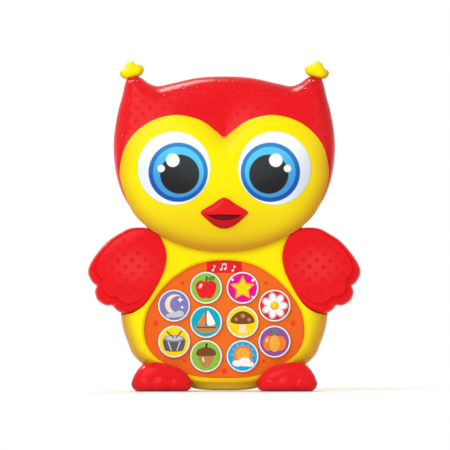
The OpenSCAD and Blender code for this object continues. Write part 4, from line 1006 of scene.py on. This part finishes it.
# Each key's ground colour and the shapes laid on it, from the lowest layer up
PICTURES = [
    ("lime", [("brown", corner((-0.06, 0.3), (-0.02, 0.72), (0.12, 0.7), (0.06, 0.28))),
              ("leaf", curve((0.08, 0.5), (0.3, 0.72), (0.58, 0.68), (0.4, 0.46))),
              ("red", even_curve((0, 0.34), (0.3, 0.46), (0.6, 0.28), (0.62, -0.12), (0.4, -0.56),
                                 (0.14, -0.66), (0, -0.6))),
              ("cream", oval(-0.34, 0.12, 0.09, 0.17, -25))]),
    ("magenta", [("amber", star(0, -0.02, 0.8, 0.4, 5)), ("yellow", star(0, -0.02, 0.62, 0.31, 5)),
                 ("white", oval(-0.62, 0.5, 0.07, 0.07)), ("white", oval(0.64, 0.46, 0.09, 0.09)),
                 ("white", oval(0.6, -0.56, 0.06, 0.06))]),
    ("lavender", [("cream", crescent(0.06, 0.08, 0.62, 0.3)), ("white", star(0.38, 0.36, 0.2, 0.08, 4)),
                  ("white", star(0.5, -0.1, 0.13, 0.05, 4)), ("pale_grey", oval(0.02, -0.56, 0.36, 0.18)),
                  ("pale_grey", oval(0.34, -0.5, 0.26, 0.2)), ("pale_grey", oval(-0.3, -0.62, 0.2, 0.12))]),
    ("red", [("pale_grey", p) for p in petals(0, 0, 0.48, 0.36, 0.25, 7)]
     + [("white", p) for p in petals(0, 0, 0.45, 0.28, 0.17, 7)]
     + [("amber", oval(0, 0, 0.27, 0.27)), ("yellow", oval(-0.04, 0.05, 0.17, 0.17))]),
    ("teal", [("brown", corner((-0.04, -0.3), (-0.04, 0.74), (0.03, 0.74), (0.03, -0.3))),
              ("white", curve((0.08, 0.68), (0.36, 0.36), (0.56, -0.14), (0.08, -0.16))),
              ("orange", curve((-0.1, 0.56), (-0.1, -0.16), (-0.5, -0.12), (-0.3, 0.22))),
              ("tan", curve((-0.66, -0.28), (0.68, -0.28), (0.42, -0.62), (-0.36, -0.64))),
              ("brown", corner((-0.6, -0.3), (0.62, -0.3), (0.58, -0.38), (-0.56, -0.38)))]),
    ("yellow", [("cream", even_curve((0.16, 0.1), (0.2, -0.4), (0.26, -0.66))),
                ("brown", even_curve((0, 0.68), (0.56, 0.42), (0.72, -0.02), (0, -0.14))),
                ("tan", oval(0.02, 0.38, 0.15, 0.13)), ("tan", oval(-0.4, 0.16, 0.11, 0.1)),
                ("tan", oval(0.4, 0.14, 0.12, 0.1))]),
    ("yellow", [("slate", even_curve((0.6, 0.2), (0.6, -0.42), (0.36, -0.6))),
                ("grey", oval(0, 0.2, 0.64, 0.22)), ("pale_grey", oval(0, 0.22, 0.52, 0.15)),
                ("brown", corner((-0.5, 0.6), (-0.43, 0.66), (0.04, 0.24), (-0.02, 0.2))),
                ("brown", corner((0.43, 0.68), (0.5, 0.62), (0.14, 0.2), (0.08, 0.24))),
                ("cream", corner((-0.4, 0), (-0.34, 0), (-0.14, -0.56), (-0.2, -0.56))),
                ("cream", corner((0.34, 0), (0.4, 0), (0.2, -0.56), (0.14, -0.56)))]),
    ("violet", [("leaf", curve((-0.06, 0.36), (-0.12, 0.7), (0.06, 0.76), (0.1, 0.36))),
                ("orange", oval(-0.36, -0.1, 0.34, 0.46)), ("orange", oval(0.36, -0.1, 0.34, 0.46)),
                ("amber", oval(0, -0.12, 0.32, 0.52)), ("cream", oval(-0.46, 0.08, 0.06, 0.14, -15))]),
    ("lime", [("tan", even_curve((0.44, 0.1), (0.4, -0.3), (0, -0.76))),
              ("brown", even_curve((0, 0.56), (0.5, 0.4), (0.58, 0.06), (0, 0))),
              ("umber", corner((-0.06, 0.5), (-0.02, 0.8), (0.12, 0.78), (0.06, 0.5))),
              ("cream", oval(-0.18, -0.22, 0.06, 0.18, 12))]),
    ("sky", [("orange", star(0.02, 0.08, 0.74, 0.5, 12)), ("amber", oval(0.02, 0.08, 0.44, 0.44)),
             ("white", oval(-0.3, -0.44, 0.34, 0.2)), ("white", oval(0.14, -0.36, 0.36, 0.28)),
             ("white", oval(0.46, -0.5, 0.24, 0.16))])]


# Inks start a little inside what carries them, and each layer lies a little higher than the last
INK_SINK, INK_LIFT, INK_LAYER, NOTE_LIFT = 0.05, 0.02, 0.008, 0.03
PICTURE_SPREAD = 1.12


def picture(name, x, z, ground, shapes):
    """A printed disc: the ground with thin layers of ink on it."""
    profile = [(TIP, 0), (PICTURE_R, 0), (PICTURE_R, PICTURE_T - DISC_SOFT),
               (PICTURE_R - DISC_SOFT, PICTURE_T), (TIP, PICTURE_T)]
    layers = [(turned("ground", profile, x, z, PICTURE_T - KEY_Y), INKS[ground])]
    for k, (colour, outline) in enumerate(shapes):
        shape = PICTURE_SPREAD * PICTURE_R * outline + (x, z)
        layers.append((prism(shape, INK_SINK - KEY_Y, -KEY_Y - INK_LIFT - INK_LAYER * k), INKS[colour]))
    sizes = [len(o.data.polygons) for o, _ in layers]
    piece = joined(name, [o for o, _ in layers])
    for _, material in layers:
        piece.data.materials.append(material)
    piece.data.polygons.foreach_set("material_index", np.repeat(np.arange(len(layers)), sizes).tolist())
    return piece


for k, ((x, z), (ground, shapes)) in enumerate(zip(KEY_PLACES, PICTURES), 1):
    number = "%02d" % k
    key = "key_" + number
    place(key_cap("key_cap_" + number, x, z), white_abs, key, key)
    disc = picture("picture_disc_" + number, x, z, ground, shapes)
    place(disc, INKS[ground], "picture_" + number, key)


# Music notes in white ink on the red tab
NOTE_STEP, NOTE_RISE, STEM_IN, STEM_OUT, STEM_H = 2.3, 0.3, 0.42, 0.78, 3
LABEL_T = 0.4


def note_shapes(x, z, pair):
    """Heads and stems, with a beam between two notes or a flag on one."""
    heads = [(x, z)] + ([(x + NOTE_STEP, z + NOTE_RISE)] if pair else [])
    shapes = [oval(hx, hz, 0.78, 0.58, 20, 24) for hx, hz in heads]
    for hx, hz in heads:
        left, right, top = hx + STEM_IN, hx + STEM_OUT, hz + STEM_H
        shapes.append(corner((left, hz), (left, top), (right, top), (right, hz)))
    if pair:
        left, right = x + STEM_IN, x + NOTE_STEP + STEM_OUT
        shapes.append(corner((left, z + 2.5), (left, z + 3.2), (right, z + 3.5), (right, z + 2.8)))
    else:
        shapes.append(corner((x + 0.7, z + 3), (x + 1.7, z + 2.1), (x + 1.5, z + 1.7), (x + 0.7, z + 2.3)))
    return shapes


LABEL_Y = PANEL_Y + LABEL_T
notes = []
for x, z, pair in ((-6.6, 69.6, False), (-1.8, 70.1, True), (4.9, 69.4, False)):
    notes += [prism(shape, INK_SINK - LABEL_Y, -LABEL_Y - NOTE_LIFT) for shape in note_shapes(x, z, pair)]
place(joined("tab_notes", notes), INKS["white"])


# Rear cover: a rounded tub with bosses, the battery bay, the switch recess and the grille
SCREW_HOLES = [(s * x, z) for x, z in ((52.1, 36.8), head_at(0.38, 0.87)) for s in (-1, 1)]
SCREW_SEAT, BORE_R, SINK_R = 5, 1.55, 3.2
BAY_FLOOR, BAY_HALF, BAY_LOW, BAY_TOP, BAY_WALL = 11.9, 25.45, 27.05, 60.95, 1.8
DOOR_SEAT, DOOR_HALF, DOOR_LOW, DOOR_TOP, DOOR_RIM = 23, 27.25, 17.25, 62.75, 1.5
STRIP_TOP, STRIP_DEPTH, DOOR_SCREW_Z, DOOR_BORE_R, DOOR_BORE_DEEP = 25.25, 9, 21.25, 1.5, 7.3
SPEAKER_Z, SPEAKER_R, SPEAKER_RIB, CUP_Y = 134, 20.3, 1.6, 16.3
GRILLE_R, GRILLE_STEP = 1.5, 5
SWITCH_Z, RECESS_HALF, RECESS_RISE, RECESS_FLOOR, SWITCH_Y = 86, 7, 4.5, 22.9, 21.1
SLOT_HALF, SLOT_RISE = 4.8, 2
# How far back from the seam the painted shade of the body's sides carries on
SEAM_SHADE = 10


def drum(x, z, r, y_back, y_front, count=40):
    """A round solid from one depth to the other."""
    return prism(circle(x, z, r, count), y_back, y_front)


def tub(inset, y_rim, count=320):
    """The cover's rounded form, moved in from its outside by inset."""
    outline = even(SHELL, count)
    bend = EDGE_ROUND - inset
    rings = [at_y(grow(outline, -inset), y_rim)]
    for turn in np.radians(np.linspace(0, 90, 14)):
        rings.append(at_y(grow(outline, -inset - bend * (1 - math.cos(turn))),
                          BACK_DEPTH - EDGE_ROUND + bend * math.sin(turn)))
    return loft("rear_tub", rings[::-1])


def rear_cover():
    """The tub, hollowed round its bosses and ribs, with its bay, recess and holes."""
    half = DOOR_HALF + DOOR_RIM
    room = cut(
        tub(WALL, -1), *[drum(x, z, SINK_R + WALL, BACK_DEPTH, 0) for x, z in SCREW_HOLES],
        block((-half, BAY_FLOOR - BAY_WALL, STRIP_TOP - BAY_WALL), (half, BACK_DEPTH, DOOR_TOP + DOOR_RIM)),
        block((-half, DOOR_SEAT - STRIP_DEPTH, DOOR_LOW - DOOR_RIM), (half, BACK_DEPTH, STRIP_TOP)),
        cut(drum(0, SPEAKER_Z, SPEAKER_R + SPEAKER_RIB, BACK_DEPTH, CUP_Y, 80),
            drum(0, SPEAKER_Z, SPEAKER_R, BACK_DEPTH + 1, CUP_Y - 1, 80)),
        block((-RECESS_HALF - SPEAKER_RIB, SWITCH_Y, SWITCH_Z - RECESS_RISE - SPEAKER_RIB),
              (RECESS_HALF + SPEAKER_RIB, BACK_DEPTH, SWITCH_Z + RECESS_RISE + SPEAKER_RIB)))
    holes = [drum(0, SPEAKER_Z, GRILLE_R, BACK_DEPTH + 1, BACK_DEPTH - WALL - 1, 24)]
    for ring in (1, 2, 3):
        for x, z in fan((0, SPEAKER_Z), around(6 * ring), ring * GRILLE_STEP):
            holes.append(drum(x, z, GRILLE_R, BACK_DEPTH + 1, BACK_DEPTH - WALL - 1, 24))
    sinks = [drum(x, z, SINK_R, BACK_DEPTH + 1, SCREW_SEAT) for x, z in SCREW_HOLES]
    bores = [drum(x, z, BORE_R, SCREW_SEAT + 1, -2, 24) for x, z in SCREW_HOLES]
    piece = cut(
        tub(0, 0), room, joined("holes", holes + sinks), joined("bores", bores),
        block((-BAY_HALF, BAY_FLOOR, BAY_LOW), (BAY_HALF, BACK_DEPTH, BAY_TOP)),
        block((-DOOR_HALF, DOOR_SEAT, DOOR_LOW), (DOOR_HALF, BACK_DEPTH + 1, DOOR_TOP)),
        drum(0, DOOR_SCREW_Z, DOOR_BORE_R, BACK_DEPTH, DOOR_SEAT - DOOR_BORE_DEEP, 24),
        block((-RECESS_HALF, RECESS_FLOOR, SWITCH_Z - RECESS_RISE),
              (RECESS_HALF, BACK_DEPTH + 1, SWITCH_Z + RECESS_RISE)),
        block((-SLOT_HALF, SWITCH_Y - 1, SWITCH_Z - SLOT_RISE),
              (SLOT_HALF, BACK_DEPTH, SWITCH_Z + SLOT_RISE)))
    piece.name = "rear_shell"
    return piece


def rounded(low, high, r, steps=6):
    """A rectangle between two corners, clockwise, with round corners."""
    (x0, z0), (x1, z1) = np.add(low, r), np.subtract(high, r)
    points = []
    for k, mid in enumerate([(x1, z1), (x1, z0), (x0, z0), (x0, z1)]):
        for turn in np.radians(90 - 90 * k - np.linspace(0, 90, steps)):
            points.append((mid[0] + r * math.cos(turn), mid[1] + r * math.sin(turn)))
    return np.array(points)


def pillow_plate(name, low, high, y_in, y_out, r, soft):
    """A plate that faces the back, with round corners and a softened outer edge."""
    outline = rounded(low, high, r)
    rings = [at_y(outline, y_in)]
    for turn in np.radians(np.linspace(0, 90, 6)):
        rings.append(at_y(grow(outline, -soft * (1 - math.cos(turn))), y_out - soft * (1 - math.sin(turn))))
    return loft(name, rings[::-1])


LID_ROUND, LID_SOFT, LID_HEAD_H, LID_HEAD_R = 1.2, 0.5, 1, 2.5
GRIP_HALF, GRIP_W, GRIP_ROUND, GRIP_DEEP, GRIP_DROP, GRIP_STEP = 7, 1.2, 0.59, 0.7, 3.2, 2.2


def battery_lid():
    """The lid, with four finger grips and a sunk hole for its screw."""
    low, high = (FIT - DOOR_HALF, DOOR_LOW + FIT), (DOOR_HALF - FIT, DOOR_TOP - FIT)
    lid = pillow_plate("battery_lid", low, high, DOOR_SEAT + FIT, BACK_DEPTH, LID_ROUND, LID_SOFT)
    grips = []
    for top in DOOR_TOP - GRIP_DROP - GRIP_STEP * np.arange(4):
        groove = rounded((-GRIP_HALF, top - GRIP_W), (GRIP_HALF, top), GRIP_ROUND)
        grips.append(prism(groove, BACK_DEPTH + 1, BACK_DEPTH - GRIP_DEEP))
    return cut(lid, *grips, drum(0, DOOR_SCREW_Z, DOOR_BORE_R - 0.2, BACK_DEPTH + 1, DOOR_SEAT),
               drum(0, DOOR_SCREW_Z, LID_HEAD_R + FIT, BACK_DEPTH + 1, BACK_DEPTH - LID_HEAD_H))


def lid_screw():
    """A pan-head screw with a cross recess."""
    y = BACK_DEPTH - LID_HEAD_H
    head = [(LID_HEAD_R, y), (LID_HEAD_R, y + 0.55), (2.2, y + 0.82), (1.6, y + 0.96), (TIP, y + LID_HEAD_H)]
    rings = [(TIP, y - 7), (0.9, y - 7), (1.2, y - 6.2), (1.2, y)] + head
    piece = loft("lid_screw", [at_y(circle(0, DOOR_SCREW_Z, r, 48), d) for r, d in rings[::-1]])
    arms = [block((-w, y + 0.25, DOOR_SCREW_Z - h), (w, BACK_DEPTH + 1, DOOR_SCREW_Z + h))
            for w, h in ((1.5, 0.32), (0.32, 1.5))]
    return cut(piece, *arms)


KNOB_HALF, KNOB_RISE, KNOB_IN, KNOB_OUT, KNOB_ROUND, KNOB_SOFT = 3, 3.5, 23.2, 25.2, 0.8, 0.4
GROOVE_HALF, GROOVE_RISE, GROOVE_DEEP, GROOVE_STEP = 0.35, 2.6, 0.6, 1.6
SHANK_HALF, SHANK_RISE, SHANK_END = 1.5, 1.7, 19.5


def slide_knob():
    """A thumb piece with three grooves, on the shank that works the switch."""
    low, high = (-KNOB_HALF, SWITCH_Z - KNOB_RISE), (KNOB_HALF, SWITCH_Z + KNOB_RISE)
    cap = pillow_plate("cap", low, high, KNOB_IN, KNOB_OUT, KNOB_ROUND, KNOB_SOFT)
    grooves = [block((x - GROOVE_HALF, KNOB_OUT - GROOVE_DEEP, SWITCH_Z - GROOVE_RISE),
                     (x + GROOVE_HALF, KNOB_OUT + 1, SWITCH_Z + GROOVE_RISE))
               for x in (-GROOVE_STEP, 0, GROOVE_STEP)]
    shank = block((-SHANK_HALF, SHANK_END, SWITCH_Z - SHANK_RISE),
                  (SHANK_HALF, KNOB_IN + 0.5, SWITCH_Z + SHANK_RISE))
    return joined("slide_knob", [cut(cap, *grooves), shank])


rear_shell = place(rear_cover(), yellow_abs, "rear_cover")
at = corners(rear_shell)
# Painted shade on the cover's sides near the seam, going on from the body's
paint_light_and_shade(rear_shell, ease(1 - at[:, 1] / SEAM_SHADE) * ease((70 - at[:, 2]) / 20))
place(battery_lid(), yellow_abs, "battery_door", "battery_door")
place(lid_screw(), screw_zinc, "door_screw", "battery_door")
place(slide_knob(), red_abs, "power_knob", "power_knob")


# Key mat: a silicone sheet with a hollow dome behind each key
MAT_T, DOME_H, DOME_SKIN, DOME_KEEP, DOME_GAP = 1, 2.2, 0.7, 0.56, 0.02
DOME_R, DOME_TOP_R, DOME_HOLE_R = 6.62, 4.64, 5.55
MAT_Y = FLANGE_Y - FLANGE_T - FIT - DOME_H
POST_PLACES, POST_HOLE_R = [(0, 49.6), (0, 30), (-39.6, 38.85), (39.6, 38.85)], 2.7


def mat_sheet():
    """The sheet, open under each dome and round each post."""
    holes = [(x, z, DOME_HOLE_R) for x, z in KEY_PLACES] + [(x, z, POST_HOLE_R) for x, z in POST_PLACES]
    sheet = prism(grow(even(BELLY, 240), -LEDGE_W), MAT_T - MAT_Y, -MAT_Y)
    drums = [drum(x, z, r, MAT_T - MAT_Y + 1, -MAT_Y - 1) for x, z, r in holes]
    piece = cut(sheet, joined("mat_holes", drums))
    piece.name = "mat_sheet"
    return piece


def mat_dome(name, x, z):
    """A hollow dome on the sheet."""
    roof = DOME_H - DOME_SKIN
    profile = [(TIP, roof), (DOME_TOP_R - DOME_SKIN, roof), (DOME_HOLE_R, DOME_GAP), (DOME_R, DOME_GAP),
               (DOME_TOP_R + 0.2, DOME_H - 0.3), (DOME_TOP_R - 0.1, DOME_H), (TIP, DOME_H)]
    return turned(name, profile, x, z, -MAT_Y)


place(mat_sheet(), silicone, "key_mat")
for k, (x, z) in enumerate(KEY_PLACES, 1):
    dome = place(mat_dome("mat_dome_%02d" % k, x, z), silicone)
    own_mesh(dome)


# The solids that keep their own shape take the finish of their slot
FINISH = {
    "orange_plastic": orange_abs, "orange_print": belly_film, "board": board_mask,
    "epoxy": chip_epoxy, "screw_steel": screw_zinc, "frame_steel": speaker_steel, "paper_cone": cone_paper,
    "ferrite": magnet_ferrite, "cell_can": cell_film, "contact_nickel": contact_nickel,
    "black_plastic": black_abs, "wire_insulation": lead_pvc}
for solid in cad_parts.values():
    for spot in solid.material_slots:
        spot.material = FINISH.get(spot.material.name, spot.material)

# Camera: straight ahead and far off, as in the photo
camera = bpy.data.objects.new("camera", bpy.data.cameras.new("camera"))
camera.data.lens = 900
camera.data.sensor_width = 36
camera.data.clip_end = 10
camera.location = (0.0004, -6.486, 0.0956)
camera.rotation_euler = (math.pi / 2, 0, 0)
bpy.context.scene.collection.objects.link(camera)
bpy.context.scene.camera = camera


# Studio: a white floor that keeps the toy's shadow, and white all round
def seen_share(tree):
    """1 for rays from the camera, and for those that a shiny or clear surface sends on."""
    ray = node(tree, "ShaderNodeLightPath").outputs
    seen = {0: ray["Is Camera Ray"], 1: ray["Is Glossy Ray"]}
    shine = node(tree, "ShaderNodeMath", seen, operation="MAXIMUM")
    clear = {0: shine.outputs[0], 1: ray["Is Transmission Ray"]}
    return node(tree, "ShaderNodeMath", clear, operation="MAXIMUM").outputs[0]


def studio_floor(half=900, drop=0.2):
    """Matt white paint, lit up for the eye, more so farther out, so that it meets the white behind it."""
    material, tree, bsdf = surface("studio_floor_matt_paint", Roughness=1.0, Specular_IOR_Level=0.0)
    bsdf.inputs["Base Color"].default_value = srgb("#FFFFFF")
    bsdf.inputs["Emission Color"].default_value = srgb("#FFFFFF")
    where = node(tree, "ShaderNodeTexCoord").outputs["Object"]
    far = node(tree, "ShaderNodeVectorMath", {0: where}, operation="LENGTH").outputs["Value"]
    glow = node(tree, "ShaderNodeMapRange", {0: far, 1: 0.12, 2: 0.6, 3: 0.12, 4: 0.4}).outputs[0]
    lift = node(tree, "ShaderNodeMath", {0: seen_share(tree), 1: glow}, operation="MULTIPLY")
    tree.links.new(lift.outputs[0], bsdf.inputs["Emission Strength"])
    square = [(-half, -half, -drop), (half, -half, -drop), (half, half, -drop), (-half, half, -drop)]
    piece = build("studio_floor", square, [[0, 1, 2, 3]])
    piece.data.materials.append(material)


def lamp(name, size, watts, at, aim, lights=True, gleams=True):
    """A round lamp that lights what it aims at, shows as a gleam on what is glossy, or does both."""
    light = bpy.data.objects.new(name, bpy.data.lights.new(name, "AREA"))
    light.data.shape = "DISK"
    light.data.size = size
    light.data.energy = watts
    light.location = at
    light.visible_diffuse = lights
    light.visible_glossy = gleams
    way = np.array(at) - np.array(aim)
    flat = math.hypot(way[0], way[1])
    light.rotation_euler = (math.atan2(flat, way[2]), 0, math.atan2(way[0], -way[1]))
    bpy.context.scene.collection.objects.link(light)


studio_floor()
lamp("key_lamp", 1.3, 12.5, (-0.75, -1.2, 1.05), (0, 0, 0.09))
lamp("fill_lamp", 1.2, 2, (1.1, -1.3, 0.5), (0, 0, 0.09))
lamp("back_lamp", 1.2, 7, (0.5, 1.3, 0.9), (0, 0, 0.09), gleams=False)
lamp("crown_lamp", 0.52, 14, (-0.3, 0.31, 1.18), (0, 0, 0.17), lights=False)
lamp("side_lamp", 0.36, 12, (-0.71, 0.31, 0.88), (0, 0, 0.1), lights=False)

world = bpy.data.worlds.new("studio_white")
world.use_nodes = True
sky = world.node_tree
sky.nodes.clear()
glow = node(sky, "ShaderNodeMapRange", {0: seen_share(sky), 1: 0.0, 2: 1.0, 3: 0.6, 4: 1.0})
white = node(sky, "ShaderNodeBackground", {"Color": (1, 1, 1, 1), "Strength": glow.outputs[0]})
node(sky, "ShaderNodeOutputWorld", {"Surface": white.outputs[0]})
bpy.context.scene.world = world
bpy.context.scene.view_settings.view_transform = "Standard"
